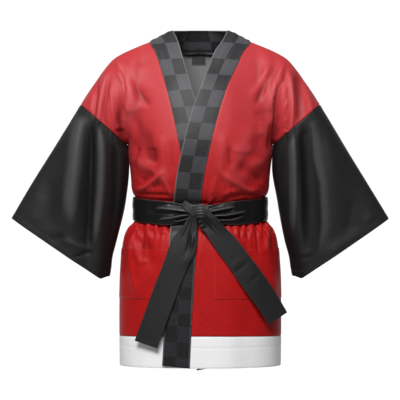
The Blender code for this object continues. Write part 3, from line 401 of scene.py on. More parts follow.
BACK_RIGHT_CREASES: Strokes = (
    (0.015, 0.006, 0.0056, 0.186, -0.056, 0.178, -0.115, 0.174, -0.18),
    (0.005, 0.012, -0.0052, 0.202, -0.07, 0.19, -0.125, 0.185, -0.19, 0.176, -0.236),
    (0.006, 0.008, 0.0052, 0.23, -0.1, 0.225, -0.155, 0.224, -0.215),
    (0.006, 0.007, -0.0038, 0.248, -0.11, 0.243, -0.17),
    (0.01, 0.012, -0.0032, 0.156, -0.07, 0.132, -0.115, 0.104, -0.15),
    (0.004, 0.003, 0.002, 0.2, -0.16, 0.188, -0.216),
    (0.014, 0.016, 0.0024, 0.105, -0.15, 0.094, -0.25),
    (0.006, 0.009, 0.0044, 0.03, -0.326, 0.08, -0.314, 0.15, -0.296),
    (0.004, 0.006, -0.0034, 0.05, -0.34, 0.11, -0.336, 0.156, -0.325),
    (0.004, 0.005, 0.0024, 0.1, -0.29, 0.154, -0.256),
    (0.006, 0.006, 0.0028, 0.06, -0.31, 0.048, -0.364),
    (0.0035, 0.0035, -0.0026, 0.02, -0.362, 0.13, -0.361),
    (0.006, 0.006, 0.0034, 0.15, -0.42, 0.156, -0.48, 0.16, -0.55),
    (0.0034, 0.0034, -0.003, 0.138, -0.42, 0.14, -0.464),
    (0.005, 0.005, 0.0032, 0.124, -0.42, 0.126, -0.482),
    (0.0026, 0.0026, -0.0026, 0.111, -0.42, 0.11, -0.456),
    (0.0044, 0.004, 0.003, 0.098, -0.42, 0.095, -0.478),
    (0.003, 0.003, -0.0026, 0.083, -0.42, 0.084, -0.47),
    (0.0046, 0.005, 0.0028, 0.068, -0.42, 0.07, -0.464),
    (0.0026, 0.0026, -0.0024, 0.052, -0.42, 0.05, -0.462),
    (0.004, 0.004, 0.0024, 0.036, -0.42, 0.038, -0.476),
    (0.003, 0.003, -0.002, 0.018, -0.42, 0.017, -0.456),
)

# Sleeves, seen from the front: share of the way down, the outer line, the underarm line, half depth
LEFT_SLEEVE: Table = (
    (0.0, 0.282, -0.145, 0.171, -0.241, 0.068),
    (0.15, 0.3055, -0.184, 0.169, -0.29, 0.069),
    (0.4, 0.346, -0.252, 0.181, -0.37, 0.068),
    (0.7, 0.395, -0.332, 0.1975, -0.46, 0.06),
    (1.0, 0.445, -0.414, 0.2275, -0.562, 0.05),
)
RIGHT_SLEEVE: Table = (
    (0.0, 0.282, -0.145, 0.171, -0.241, 0.068),
    (0.15, 0.3055, -0.184, 0.1675, -0.29, 0.069),
    (0.4, 0.3465, -0.25, 0.175, -0.37, 0.068),
    (0.7, 0.396, -0.329, 0.1955, -0.46, 0.06),
    (1.0, 0.4455, -0.413, 0.224, -0.563, 0.05),
)
SLEEVE_CORNER = 0.016
SLEEVE_JOIN = 1 / 12  # the share over which the sleeve takes over the armhole's own outline
# Hanging folds of a sleeve: X at the top and bottom, half width, height in front and behind
LEFT_SLEEVE_FOLDS: Table = (
    (0.222, 0.24, 0.017, 0.008, -0.004),
    (0.256, 0.272, 0.017, -0.009, 0.007),
    (0.3, 0.318, 0.022, 0.006, -0.006),
    (0.345, 0.376, 0.024, -0.004, 0.005),
)
RIGHT_SLEEVE_FOLDS: Table = (
    (0.222, 0.236, 0.017, 0.008, -0.005),
    (0.255, 0.268, 0.017, -0.009, 0.007),
    (0.292, 0.304, 0.022, 0.008, -0.006),
    (0.34, 0.372, 0.024, -0.004, 0.005),
)
# Creases of the fronts of the sleeves
LEFT_SLEEVE_CREASES = on_front((
    (4.76, 3.46, 9, 292.5, 132, 293.5, 165, 293.5, 200, 292, 236),
    (5, 5, -8, 303, 114, 304, 150, 306, 200, 306, 244),
    (3.03, 7.79, 4.5, 313, 108, 314, 135, 316, 160, 322, 185, 324, 225, 319, 256),
    (5, 4, -5, 281, 140, 282, 180, 286, 230, 291, 262),
    (4, 5, -2, 348, 228, 353, 200),
    (5, 6, 3, 328, 252, 345, 241, 364, 228),
    (1.5, 3, 2.5, 299, 256, 313, 252),
    (1.5, 1.5, -2.5, 297, 260, 312, 257),
    (3, 4, 2, 366, 222, 374, 216),
), 1, CELL_SLEEVE)
RIGHT_SLEEVE_CREASES = on_front((
    (5.63, 9.96, 9, 79, 108, 77.5, 140, 76.5, 165, 73, 190, 71, 218),
    (3.46, 3.9, -8, 91, 116, 92, 150, 91, 190, 89, 225, 88, 244),
    (4.33, 5.41, 8, 100, 126, 102, 160, 101, 190, 98, 215, 94, 240),
    (5.19, 5.19, -6, 114, 136, 115, 170, 114, 205, 108, 250),
    (8, 8, -3, 52, 180, 50, 226),
    (7, 7, 2, 40, 196, 34, 222),
    (2.5, 4, 3.5, 90, 249, 76, 245, 63, 240),
    (2, 1.5, -3.5, 92, 252, 82, 254, 72, 257),
    (4, 4, -2.5, 63, 236, 49, 238),
), -1, CELL_SLEEVE)

# Patch pockets
POCKET_IN_X = 0.031
POCKET_LOW_Z, POCKET_HIGH_Z = -0.6, -0.483
POCKET_SIDE_Q = 0.97

# Woven label inside the back of the neck
LABEL_X, LABEL_HALF = -0.004, 0.017
LABEL_LOW_Z, LABEL_HIGH_Z = -0.045, -0.0205
LABEL_CLOTH = 0.0007

# Sash
SASH_OFF = 0.0042
KNOT_X, KNOT_Z = -0.001, -0.399
KNOT_Y = -0.1195
# The knot's turns: for each, its stops (share along, X, Z, width, how far out), how far its edges roll
# back, how many pleats it has, and where they start
KNOT_TURNS: Tuple[Tuple[Table, float, float, float], ...] = (
    ((
        (0.0, -0.019, -0.4015, 0.01, 0.001),
        (0.25, -0.011, -0.399, 0.027, 0.0085),
        (0.55, 0.0016, -0.398, 0.037, 0.0125),
        (0.8, 0.0135, -0.3995, 0.033, 0.009),
        (1.0, 0.02, -0.401, 0.022, -0.002),
    ), 0.0085, 5.0, 0.3),
    ((
        (0.0, -0.04, -0.3765, 0.015, -0.004),
        (0.2, -0.0328, -0.3831, 0.0175, 0.005),
        (0.55, -0.0225, -0.394, 0.014, 0.01),
        (0.8, -0.015, -0.405, 0.01, 0.0085),
        (1.0, -0.0105, -0.415, 0.008, -0.001),
    ), 0.005, 3.6, 1.1),
    ((
        (0.0, 0.006, -0.383, 0.007, 0.004),
        (0.35, 0.016, -0.3915, 0.0105, 0.0115),
        (0.7, 0.022, -0.404, 0.0095, 0.009),
        (1.0, 0.024, -0.419, 0.007, 0.0),
    ), 0.005, 2.4, 0.6),
)
SASH_PINCH_HALF, SASH_PINCH_REACH, SASH_PINCH_FULL = 0.0195, 0.08, 0.024
# Folds of the sash beside the knot
SASH_LEFT_CREASES = on_front((
    (1.2, 1.8, 5, 209, 212, 215, 210.5, 227, 208.3, 234, 207),
    (0.9, 0.9, -3.2, 210, 213.8, 218, 213, 226, 211.8, 233, 210.3),
    (1.1, 1.3, 5.5, 212, 216, 225, 215.5, 236, 213.5, 245, 211.5),
    (1, 1, -3.4, 214, 218.2, 228, 218.3, 241, 215.8),
    (1, 1.1, 4.5, 219, 220.4, 232, 219.9, 244, 216),
    (1.1, 1.1, -2, 212, 207.5, 222, 204, 234, 201.5),
    (3, 3, 1.2, 240, 205, 263, 203),
), 1, CELL_SASH)
SASH_RIGHT_CREASES = on_front((
    (1, 2.2, 5.5, 191, 213.3, 185, 211.3, 172, 209.6, 157, 208.3),
    (0.9, 0.9, -3.2, 190, 213.9, 178, 213.4, 165, 212.9, 150, 212),
    (1.5, 1.5, 5, 191, 214.6, 182, 215.6, 172, 218, 160, 219.3),
    (0.8, 0.8, -3, 190, 216.4, 184, 218.2, 175, 220.6),
    (1.2, 1.2, 4, 190, 218, 183, 220.2, 174, 222),
    (1.1, 1.1, -2, 190, 208.5, 180, 206, 168, 204),
    (1.1, 1.3, 2.2, 188, 206.6, 178, 204.2),
), -1, CELL_SASH)
SASH_WIDTH = 0.053
# Hanging ends, seen from the front: share of the way down, X and Z of one edge and of the other
LEFT_END = end_edges((
    (0, 198, 212, 206, 208),
    (0.05, 198, 219, 210, 212),
    (0.11, 199.5, 226.5, 216.5, 217),
    (0.18, 205, 233, 223.7, 225.6),
    (0.3, 217.6, 251.7, 236.4, 238.9),
    (0.45, 229.05, 267.2, 247.69, 253.5),
    (0.62, 243.42, 288.11, 261.36, 271.2),
    (0.8, 256.57, 305.97, 274.52, 290.6),
    (1, 269.38, 325.4, 288.37, 313.7),
))
RIGHT_END = end_edges((
    (0, 190, 212, 199, 212),
    (0.05, 187, 219, 197, 219),
    (0.11, 182, 227, 197, 228),
    (0.22, 172, 240, 196.5, 246),
    (0.38, 164.5, 260, 187, 268),
    (0.62, 153, 290, 175.8, 297),
    (1, 134.2, 341.5, 157.3, 348.7),
))
SUPPORT_OFF, SUPPORT_EDGE_X = 0.011, 0.14
END_RELEASE = 0.06  # how far behind the knot an end may fall back, below the sash
SUPPORT_HALF, SUPPORT_DEPTH, SUPPORT_EASE = 0.19, 0.127, 0.0025

SKIN_ROWS, SKIN_COLUMNS = 401, 161
FINE, MIDDLE, LOOSE = 0.002, 0.0023, 0.0034  # how far apart the cloth's rows and columns lie
PANEL_WIDE = 0.235  # the width of half a panel that turns them into shares
WAIST_LOW_Z, WAIST_HIGH_Z = -0.5, -0.33  # between them the rows lie closer
TOP_V = 1.985  # where the rows close up towards the shoulder seam


class Side(Enum):
    """Which half of the coat, as the wearer has it."""

    LEFT = 1
    RIGHT = -1

    @property
    def word(self) -> str:
        """The side's word in a piece's name."""
        return self.name.lower()


class Slot(Enum):
    """The record's material slots."""

    RED = "red_cotton"
    BLACK = "black_cotton"
    WHITE = "white_cotton"
    CHECK = "check_cotton"
    LABEL = "label_weave"


FRONT_FOLDS: Dict[Side, Tuple[Table, Strokes]] = {
    Side.LEFT: (LEFT_FRONT_FOLDS, LEFT_FRONT_CREASES),
    Side.RIGHT: (RIGHT_FRONT_FOLDS, RIGHT_FRONT_CREASES),
}
BACK_CREASES: Dict[Side, Strokes] = {Side.LEFT: BACK_LEFT_CREASES, Side.RIGHT: BACK_RIGHT_CREASES}
SLEEVE_CREASES: Dict[Side, Strokes] = {Side.LEFT: LEFT_SLEEVE_CREASES, Side.RIGHT: RIGHT_SLEEVE_CREASES}
SASH_CREASES: Dict[Side, Strokes] = {Side.LEFT: SASH_LEFT_CREASES, Side.RIGHT: SASH_RIGHT_CREASES}


class Held(Enum):
    """How a sheet of cloth is held."""

    DRAPED = "draped"
    HUNG = "hung"
    LAID = "laid"
    FOLDED = "folded"
    STRETCHED = "stretched"


# ---------------------------------------------------------------- curves and surfaces


def column(table: Table, index: int) -> Array:
    """One column of a table, as an array."""
    return np.array([row[index] for row in table], float)


def smooth_step(x: Number, start: float, end: float) -> Array:
    """A rise from 0 to 1 with no corner.

    Args:
        x: Where it is read.
        start: Where it is 0. It may be the larger.
        end: Where it is 1.

    Returns:
        The rise at x.
    """
    t = np.clip((np.asarray(x, float) - start) / (end - start), 0, 1)
    return t * t * (3 - 2 * t)


def smooth_table(x: Number, table: Table, index: int) -> Array:
    """A curve through a table's column without overshoot.

    Args:
        x: Where it is read, on the table's first column.
        table: The rows.
        index: The column.

    Returns:
        The curve at x: a cubic with limited slopes.
    """
    keys, values = column(table, 0), column(table, index)
    order = np.argsort(keys)
    keys, values = keys[order], values[order]
    steps = np.diff(keys)
    slopes = np.diff(values) / steps
    ends = np.zeros(len(keys))
    for i in range(1, len(keys) - 1):
        if slopes[i - 1] * slopes[i] > 0:
            w1, w2 = 2 * steps[i] + steps[i - 1], steps[i] + 2 * steps[i - 1]
            ends[i] = (w1 + w2) / (w1 / slopes[i - 1] + w2 / slopes[i])
    ends[0], ends[-1] = slopes[0], slopes[-1]
    x = np.clip(x, keys[0], keys[-1])
    i = np.clip(np.searchsorted(keys, x, side="right") - 1, 0, len(keys) - 2)
    t = (x - keys[i]) / steps[i]
    return (
        values[i] * (2 * t**3 - 3 * t**2 + 1)
        + values[i + 1] * (3 * t**2 - 2 * t**3)
        + ends[i] * steps[i] * (t**3 - 2 * t**2 + t)
        + ends[i + 1] * steps[i] * (t**3 - t**2)
    )


def bell(x: Array, middle: float, width: Number) -> Array:
    """A soft bump of height 1."""
    return np.exp(-(((x - middle) / width) ** 2))


def first_root(q: Array, value: Array) -> float:
    """Where a rising value first passes 0.

    Args:
        q: Places, in order.
        value: The value at each.

    Returns:
        The place between two of them, or the first if the value starts above 0.
    """
    k = int(np.argmax(value > 0))
    if k == 0:
        return float(q[0])
    return float(q[k - 1] + (q[k] - q[k - 1]) * value[k - 1] / (value[k - 1] - value[k]))


def unit(vectors: Array) -> Array:
    """Vectors scaled to length 1, along the last axis."""
    length = np.linalg.norm(vectors, axis=-1, keepdims=True)
    return vectors / np.maximum(length, 1e-12)


def even(line: Array, count: int) -> Array:
    """A line resampled.

    Args:
        line: Its points.
        count: How many points it gets.

    Returns:
        Points an even distance apart along it.
    """
    along = np.concatenate([[0], np.cumsum(np.linalg.norm(np.diff(line, axis=0), axis=1))])
    share = np.linspace(0, along[-1], count)
    return np.stack([np.interp(share, along, line[:, k]) for k in range(3)], axis=1)


def spaced(*stops: float, step: float) -> Array:
    """Values through several stops, about a step apart, with every stop among them."""
    runs = [np.linspace(a, b, max(2, round(abs(b - a) / step) + 1))[:-1] for a, b in zip(stops, stops[1:])]
    return np.concatenate([*runs, [stops[-1]]])


ACROSS_ARMHOLE: Array = unit(SHOULDER_TIP - ARMPIT)
ARM_AXIS: Array = np.array((ACROSS_ARMHOLE[2], 0.0, -ACROSS_ARMHOLE[0]))


def body_row(height: float, facing: int) -> Array:
    """One section of the body below the arms.

    Args:
        height: Its Z.
        facing: -1 for the front and 1 for the back.

    Returns:
        Points from the centre line to the side.
    """
    half = smooth_table(height, BODY_SECTIONS, 1)
    deep = smooth_table(height, BODY_SECTIONS, 2 if facing < 0 else 3)
    turn = np.linspace(0, math.pi / 2, 4 * SKIN_COLUMNS)
    x = half * np.sin(turn) ** (2 / SECTION_POWER)
    y = facing * deep * np.cos(turn).clip(0) ** (2 / SECTION_POWER)
    row = even(np.stack([x, y, np.full_like(x, height)], axis=1), SKIN_COLUMNS)
    if facing < 0:
        share = np.linspace(0, 1, SKIN_COLUMNS)
        near_waist = smooth_step(height, DIP_STARTS, DIP_FULL) * smooth_step(height, DIP_ENDS, DIP_EASES)
        near_seam = smooth_step(height, HEM_Z, CONTRAST_Z) * smooth_step(height, RISE_ENDS, CONTRAST_Z)
        row[:, 2] += (CONTRAST_RISE * near_seam - WAIST_DIP * near_waist) * (1 - share**2) ** 1.5
    share = np.linspace(0, 1, SKIN_COLUMNS)
    row[:, 2] += (ARMPIT[2] - ARMPIT_Z) * smooth_step(height, ARMPIT_Z - 0.09, ARMPIT_Z) * share**2
    return row


def shoulder_row(up: float, facing: int) -> Array:
    """One row over the shoulder.

    Args:
        up: 0 at the armpit's height and 1 on the shoulder line.
        facing: -1 for the front and 1 for the back.

    Returns:
        Points from the centre line to the armhole.
    """
    deep = smooth_table(up, SHOULDER_SECTIONS, 1 if facing < 0 else 3)
    centre_z = smooth_table(up, SHOULDER_SECTIONS, 2 if facing < 0 else 4)
    crease = np.interp(up, column(SHOULDER_SECTIONS, 0), column(SHOULDER_SECTIONS, 5))
    end = ARMPIT + (SHOULDER_TIP - ARMPIT) * (1 - math.cos(math.pi * up)) / 2
    x = end[0] * np.sin(np.linspace(0, math.pi / 2, 4 * SKIN_COLUMNS))
    inside = np.clip(1 - (x / (TORSO_HALF + TORSO_WIDENS * up)) ** SECTION_POWER, 0, 1)
    torso = deep * inside ** (1 / SECTION_POWER)
    arm = ARM_DEPTH * math.sin(math.pi * up) * smooth_step(x, ARM_FROM_X, ARM_FULL_X)
    depth = (torso**4 + arm**4) ** 0.25
    dent = crease * bell(x, CREASE_X, CREASE_WIDTH)
    depth -= dent * smooth_step(x, end[0], end[0] - CREASE_WIDTH)
    z = centre_z + (end[2] - centre_z) * smooth_table(x / end[0], SHOULDER_FALL, 1)
    return even(np.stack([x, facing * depth, z], axis=1), SKIN_COLUMNS)


def loop_normal(turn: float, facing: int) -> Array:
    """The armhole's outward direction in its own plane.

    Args:
        turn: Angle from the armpit.
        facing: -1 for the front and 1 for the back.

    Returns:
        The direction.
    """
    half = np.linalg.norm(SHOULDER_TIP - ARMPIT) / 2
    flat = -math.cos(turn) / half * ACROSS_ARMHOLE
    return unit(flat + np.array((0, facing * math.sin(turn) / ARM_DEPTH, 0)))


class Skin:
    """The front or back of the coat as one smooth surface. Its places are (v, q): v is 0 at the hem, 1 at
    the armpit and 2 on the shoulder line, and q is 0 on the centre line and 1 or -1 at the sides."""

    def __init__(self, facing: int) -> None:
        """Works out the surface's grid.

        Args:
            facing: -1 for the front and 1 for the back.
        """
        self.facing = facing
        self.v = np.linspace(0, 2, SKIN_ROWS)
        rows = [
            body_row(HEM_Z + (ARMPIT_Z - HEM_Z) * v, facing) if v < 1 else shoulder_row(v - 1, facing)
            for v in self.v
        ]
        self.points = self.soften(np.array(rows))
        self.normals = self.facing_out(self.points)

    def soften(self, grid: Array) -> Array:
        """Blends the rows near the armpit, so that body and shoulder meet in one curve.

        Args:
            grid: The surface's points.

        Returns:
            The same grid.
        """
        near = ((self.v > 0.82) & (self.v < 1.3))[1:-1]
        for _ in range(160):
            mean = (grid[:-2] + 2 * grid[1:-1] + grid[2:]) / 4
            grid[1:-1][near, :-1] = mean[near, :-1]
        return grid

    def facing_out(self, grid: Array) -> Array:
        """The grid's outward normals.

        Args:
            grid: The surface's points.

        Returns:
            A normal for each, the same on both sides of a seam.
        """
        normals = unit(np.cross(np.gradient(grid, axis=0), np.gradient(grid, axis=1)) * self.facing)
        normals[-1, :, 1] = 0
        normals[:, 0, 0] = 0
        normals[-1], normals[:, 0] = unit(normals[-1]), unit(normals[:, 0])
        for i, v in enumerate(self.v):
            if v <= 1:
                normals[i, -1] = (1, 0, 0)
                continue
            turn = math.pi * (v - 1)
            own = smooth_step(turn, math.radians(70), math.radians(15))
            normals[i, -1] = unit(own * normals[i, -1] + (1 - own) * loop_normal(turn, self.facing))
        return normals

    def at(self, v: Number, q: Number) -> Tuple[Array, Array]:
        """The surface at arrays of places.

        Args:
            v: Rows.
            q: Places across.

        Returns:
            Points and normals.
        """
        v, q = np.broadcast_arrays(np.asarray(v, float), np.asarray(q, float))
        row = np.clip(v / 2 * (SKIN_ROWS - 1), 0, SKIN_ROWS - 1.000001)
        col = np.clip(np.abs(q) * (SKIN_COLUMNS - 1), 0, SKIN_COLUMNS - 1.000001)
        i, j = row.astype(int), col.astype(int)
        a, b = (row - i)[..., None], (col - j)[..., None]
        found = []
        for grid in (self.points, self.normals):
            low = grid[i, j] * (1 - b) + grid[i, j + 1] * b
            high = grid[i + 1, j] * (1 - b) + grid[i + 1, j + 1] * b
            value = low * (1 - a) + high * a
            value[..., 0] *= np.where(q < 0, -1, 1)
            found.append(value)
        return found[0], unit(found[1])

    def crossing(self, v: float, edge: Table, index: int, gap: float = 0.0) -> float:
        """The q at which a row crosses an edge that is given by height and X.

        Args:
            v: The row.
            edge: Rows of heights and X's.
            index: The column of X.
            gap: How far beyond the edge.

        Returns:
            The place on the row, seeking from beyond the centre line outwards.
        """
        q = np.linspace(-0.9, 1, 761)
        points, _ = self.at(v, q)
        value = points[:, 0] - smooth_table(points[:, 2], edge, index) - gap
        return first_root(q, value)


FRONT, BACK = Skin(-1), Skin(1)


def height_to_v(height: Number) -> Number:
    """The skin's v at a height below the arms."""
    return (height - HEM_Z) / (ARMPIT_Z - HEM_Z)


def panel_rows(body: float, waist: float, chest: float, *shoulder: Array) -> Array:
    """The rows of a red panel.

    Args:
        body: How far apart they lie below the waist.
        waist: The same at the waist.
        chest: The same above it.
        shoulder: Runs of rows from the armpit up.

    Returns:
        The skin's v of each, from the hem band to the shoulder seam.
    """
    low = CONTRAST_Z + 0.003
    stops = (
        (CONTRAST_Z, low, 0.0012), (low, WAIST_LOW_Z, body),
        (WAIST_LOW_Z, WAIST_HIGH_Z, waist), (WAIST_HIGH_Z, ARMPIT_Z, chest),
    )
    runs = [height_to_v(spaced(start, end, step=step)) for start, end, step in stops]
    return np.concatenate([*(run[:-1] for run in (*runs, *shoulder)), [TOP_V, 1.992, 2.0]])


def hem_rows() -> Array:
    """The skin's v of the hem band's rows, closer at its fold and its seam."""
    return height_to_v(np.concatenate([
        [HEM_Z, HEM_Z + 0.0008, HEM_Z + 0.002], spaced(HEM_Z + 0.005, CONTRAST_Z - 0.003, step=MIDDLE),
        [CONTRAST_Z - 0.0015, CONTRAST_Z - SEAM_GAP],
    ]))


def fold_push(points: Array, folds: Table, side: int) -> Array:
    """How far folds push points outwards.

    Args:
        points: The cloth's points.
        folds: X and Z of both ends, half width and height of each fold.
        side: 1 for the wearer's left, on which the X's are given.

    Returns:
        The push of each point along its normal.
    """
    push = np.zeros(points.shape[:-1])
    x, z = side * points[..., 0], points[..., 2]
    for x0, z0, x1, z1, width, height in folds:
        run_x, run_z = x1 - x0, z1 - z0
        length = math.hypot(run_x, run_z)
        along = ((x - x0) * run_x + (z - z0) * run_z) / length**2
        off = ((x - x0) * run_z - (z - z0) * run_x) / length
        ends = smooth_step(along, -0.15, 0.25) * smooth_step(along, 1.15, 0.75)
        push += height * ends * bell(off, 0.0, width)
    return push


def crease_push(points: Array, creases: Strokes, side: int) -> Array:
    """How far creases push points outwards.

    Args:
        points: The cloth's points.
        creases: The creases.
        side: 1 for the wearer's left, on which the X's are given.

    Returns:
        The push of each point along its normal.
    """
    push = np.zeros(points.shape[:-1])
    x, z = side * points[..., 0], points[..., 2]
    for inner, outer, height, *line in creases:
        nodes = np.reshape(line, (-1, 2))
        runs = np.diff(nodes, axis=0)
        lengths = np.hypot(runs[:, 0], runs[:, 1])
        total, gone = lengths.sum(), 0.0
        nearest = np.full(push.shape, np.inf)
        off, along = np.zeros(push.shape), np.zeros(push.shape)
        for k, (node, run, length) in enumerate(zip(nodes, runs, lengths)):
            ahead = ((x - node[0]) * run[0] + (z - node[1]) * run[1]) / length
            low = -0.2 * total if k == 0 else 0.0
            high = length + (0.2 * total if k == len(runs) - 1 else 0.0)
            held = np.clip(ahead, low, high)
            beside = ((x - node[0]) * run[1] - (z - node[1]) * run[0]) / length
            distance = np.hypot(beside, ahead - held)
            closer = distance < nearest
            nearest = np.where(closer, distance, nearest)
            off = np.where(closer, np.copysign(distance, beside), off)
            along = np.where(closer, (gone + held) / total, along)
            gone += length
        ends = smooth_step(along, -0.15, 0.2) * smooth_step(along, 1.15, 0.8)
        push += height * ends * bell(off, 0.0, np.where(off > 0, inner, outer))
    return push


def free_of_seams(v: Number, q: Array) -> Array:
    """How free the cloth is to fold.

    Args:
        v: Rows of the skin.
        q: Places across.

    Returns:
        0 on the side seams and the shoulder seam, where front and back are one, rising to 1 off them.
    """
    v, q = np.broadcast_arrays(np.asarray(v, float), np.asarray(q, float))
    off_side = smooth_step(1 - np.abs(q), 0.0, 0.06)
    on_arm = smooth_step(np.sin(math.pi * np.clip(v - 1, 0, 1)), 0.0, 0.5)
    return (off_side + (1 - off_side) * on_arm) * smooth_step(2 - v, 0.0, 0.06)


def lap_push(points: Array) -> Array:
    """How far the upper front is lifted over the under front."""
    lifted = LAP * smooth_step(points[..., 0], LAP_NONE_X, LAP_FULL_X)
    return lifted * smooth_step(points[..., 2], LAP_NONE_Z, LAP_FULL_Z)


@dataclass(frozen=True)
class Gathers:
    """Uneven small folds where the sash draws the cloth in."""

    count: int
    seed: float

    def push(self, points: Array, shares: Array) -> Array:
        """How far the gathers push points outwards.

        Args:
            points: The cloth's points.
            shares: Each point's share of the way across its piece.

        Returns:
            The push of each point along its normal.
        """
        k = np.arange(2 * self.count + 1)
        uneven = 0.3 * np.sin(1.7 * k + self.seed) * np.sin(0.6 * k + 2 * self.seed)
        uneven[[0, -1]] = 0
        crests = (k + uneven) / (2 * self.count)
        tall = np.where(k % 2 == 1, 1.0, -1.0) * (0.72 + 0.28 * np.sin(2.3 * k + 3 * self.seed))
        tall[[0, -1]] = 0
        reach = 1 + 0.45 * np.sin(1.1 * k + self.seed)
        i = np.clip(np.searchsorted(crests, shares, side="right") - 1, 0, len(k) - 2)
        t = smooth_step((shares - crests[i]) / (crests[i + 1] - crests[i]), 0, 1)
        wave = tall[i] * (1 - t) + tall[i + 1] * t
        long = reach[i] * (1 - t) + reach[i + 1] * t
        z = points[..., 2]
        below = SASH_LOW_Z + (z - SASH_LOW_Z) / long
        return wave * smooth_table(np.where(z < SASH_LOW_Z, below, z), GATHERS, 1)


# ---------------------------------------------------------------- materials


class Wire:
    """A number that varies inside a material, worked with Python's operators."""

    def __init__(self, tree: Any, socket: Any) -> None:
        """Wraps an output socket of a node tree."""
        self.tree, self.socket = tree, socket

    def math(self, operation: str, *values: "Value") -> "Wire":
        """Adds a Math node.

        Args:
            operation: What it does.
            values: What it works on.

        Returns:
            Its result.
        """
        node = self.tree.nodes.new("ShaderNodeMath")
        node.operation = operation
        for place, value in zip(node.inputs, values):
            if isinstance(value, Wire):
                self.tree.links.new(value.socket, place)
            else:
                place.default_value = value
        return Wire(self.tree, node.outputs[0])

    def __add__(self, other: "Value") -> "Wire":
        """self + other."""
        return self.math("ADD", self, other)

    __radd__ = __add__

    def __sub__(self, other: "Value") -> "Wire":
        """self - other."""
        return self.math("SUBTRACT", self, other)

    def __mul__(self, other: "Value") -> "Wire":
        """self * other."""
        return self.math("MULTIPLY", self, other)

    __rmul__ = __mul__

    def __mod__(self, other: "Value") -> "Wire":
        """self % other."""
        return self.math("FLOORED_MODULO", self, other)

    def floor(self) -> "Wire":
        """The whole number below."""
        return self.math("FLOOR", self)

    def wave(self) -> "Wire":
        """The sine."""
        return self.math("SINE", self)

    def step(self, start: float, end: float) -> "Wire":
        """A straight rise, clamped.

        Args:
            start: Where it is 0.
            end: Where it is 1.

        Returns:
            The rise.
        """
        node = self.tree.nodes.new("ShaderNodeMapRange")
        self.tree.links.new(self.socket, node.inputs["Value"])
        node.inputs["From Min"].default_value = start
        node.inputs["From Max"].default_value = end
        return Wire(self.tree, node.outputs["Result"])


Value = Union[Wire, float]


class Recipe:
    """A material while its nodes are laid out."""

    def __init__(self, name: str) -> None:
        """Starts an empty material with a principled shader.

        Args:
            name: Its name.
        """
        self.material = bpy.data.materials.new(name)
        self.material.use_nodes = True
        self.tree = self.material.node_tree
        self.shader = self.tree.nodes["Principled BSDF"]

    def node(
        self,
        kind: str,
        settings: Optional[Dict[str, Any]] = None,
        inputs: Optional[Dict[Union[int, str], Any]] = None,
        output: Union[int, str] = 0,
    ) -> Wire:
        """Adds any node.

        Args:
            kind: The node's type.
            settings: Its own properties, set first.
            inputs: Values or wires for its sockets.
            output: The output that is wanted.

        Returns:
            That output.
        """
        made = self.tree.nodes.new(kind)
        for key, value in (settings or {}).items():
            setattr(made, key, value)
        for key, value in (inputs or {}).items():
            if isinstance(value, Wire):
                self.tree.links.new(value.socket, made.inputs[key])
            else:
                made.inputs[key].default_value = value
        return Wire(self.tree, made.outputs[output])

    def feed(self, **sockets: Union[Wire, float, Colour]) -> None:
        """Sets or links the shader's sockets, named with underscores for spaces."""
        for name, value in sockets.items():
            place = self.shader.inputs[name.replace("_", " ")]
            if isinstance(value, Wire):
                self.tree.links.new(value.socket, place)
            elif isinstance(value, tuple):
                place.default_value = (*value, 1.0)
            else:
                place.default_value = value

    def across(self, name: str) -> Tuple[Wire, Wire]:
        """Reads a UV map.

        Args:
            name: The map's name.

        Returns:
            Its two coordinates.
        """
        uv = self.node("ShaderNodeUVMap", {"uv_map": name})
        split = self.node("ShaderNodeSeparateXYZ", inputs={0: uv})
        return split, Wire(self.tree, split.socket.node.outputs[1])

    def place(self, axis: int) -> Wire:
        """Reads a place in object space.

        Args:
            axis: 0 for X, 1 for Y and 2 for Z.

        Returns:
            That coordinate.
        """
        coordinates = self.node("ShaderNodeTexCoord", output="Object")
        split = self.node("ShaderNodeSeparateXYZ", inputs={0: coordinates})
        return Wire(self.tree, split.socket.node.outputs[axis])

    def noise(self, scale: float, detail: float = 2.0) -> Wire:
        """Noise from 0 to 1 in object space."""
        place = self.node("ShaderNodeTexCoord", output="Object")
        return self.node("ShaderNodeTexNoise", inputs={"Vector": place, "Scale": scale, "Detail": detail})

    def colours(self, share: Wire, low: Union[Wire, Colour], high: Union[Wire, Colour]) -> Wire:
        """A blend of two colours by a share."""
        ends = [end if isinstance(end, Wire) else (*end, 1.0) for end in (low, high)]
        return self.node("ShaderNodeMix", {"data_type": "RGBA"}, {0: share, 6: ends[0], 7: ends[1]}, 2)


RUMPLE = 0.0018  # depth of the small unevenness of worn cloth


def shaded(colour: Colour, share: float) -> Colour:
    """A colour made lighter or darker."""
    return tuple(min(1.0, c * share) for c in colour)


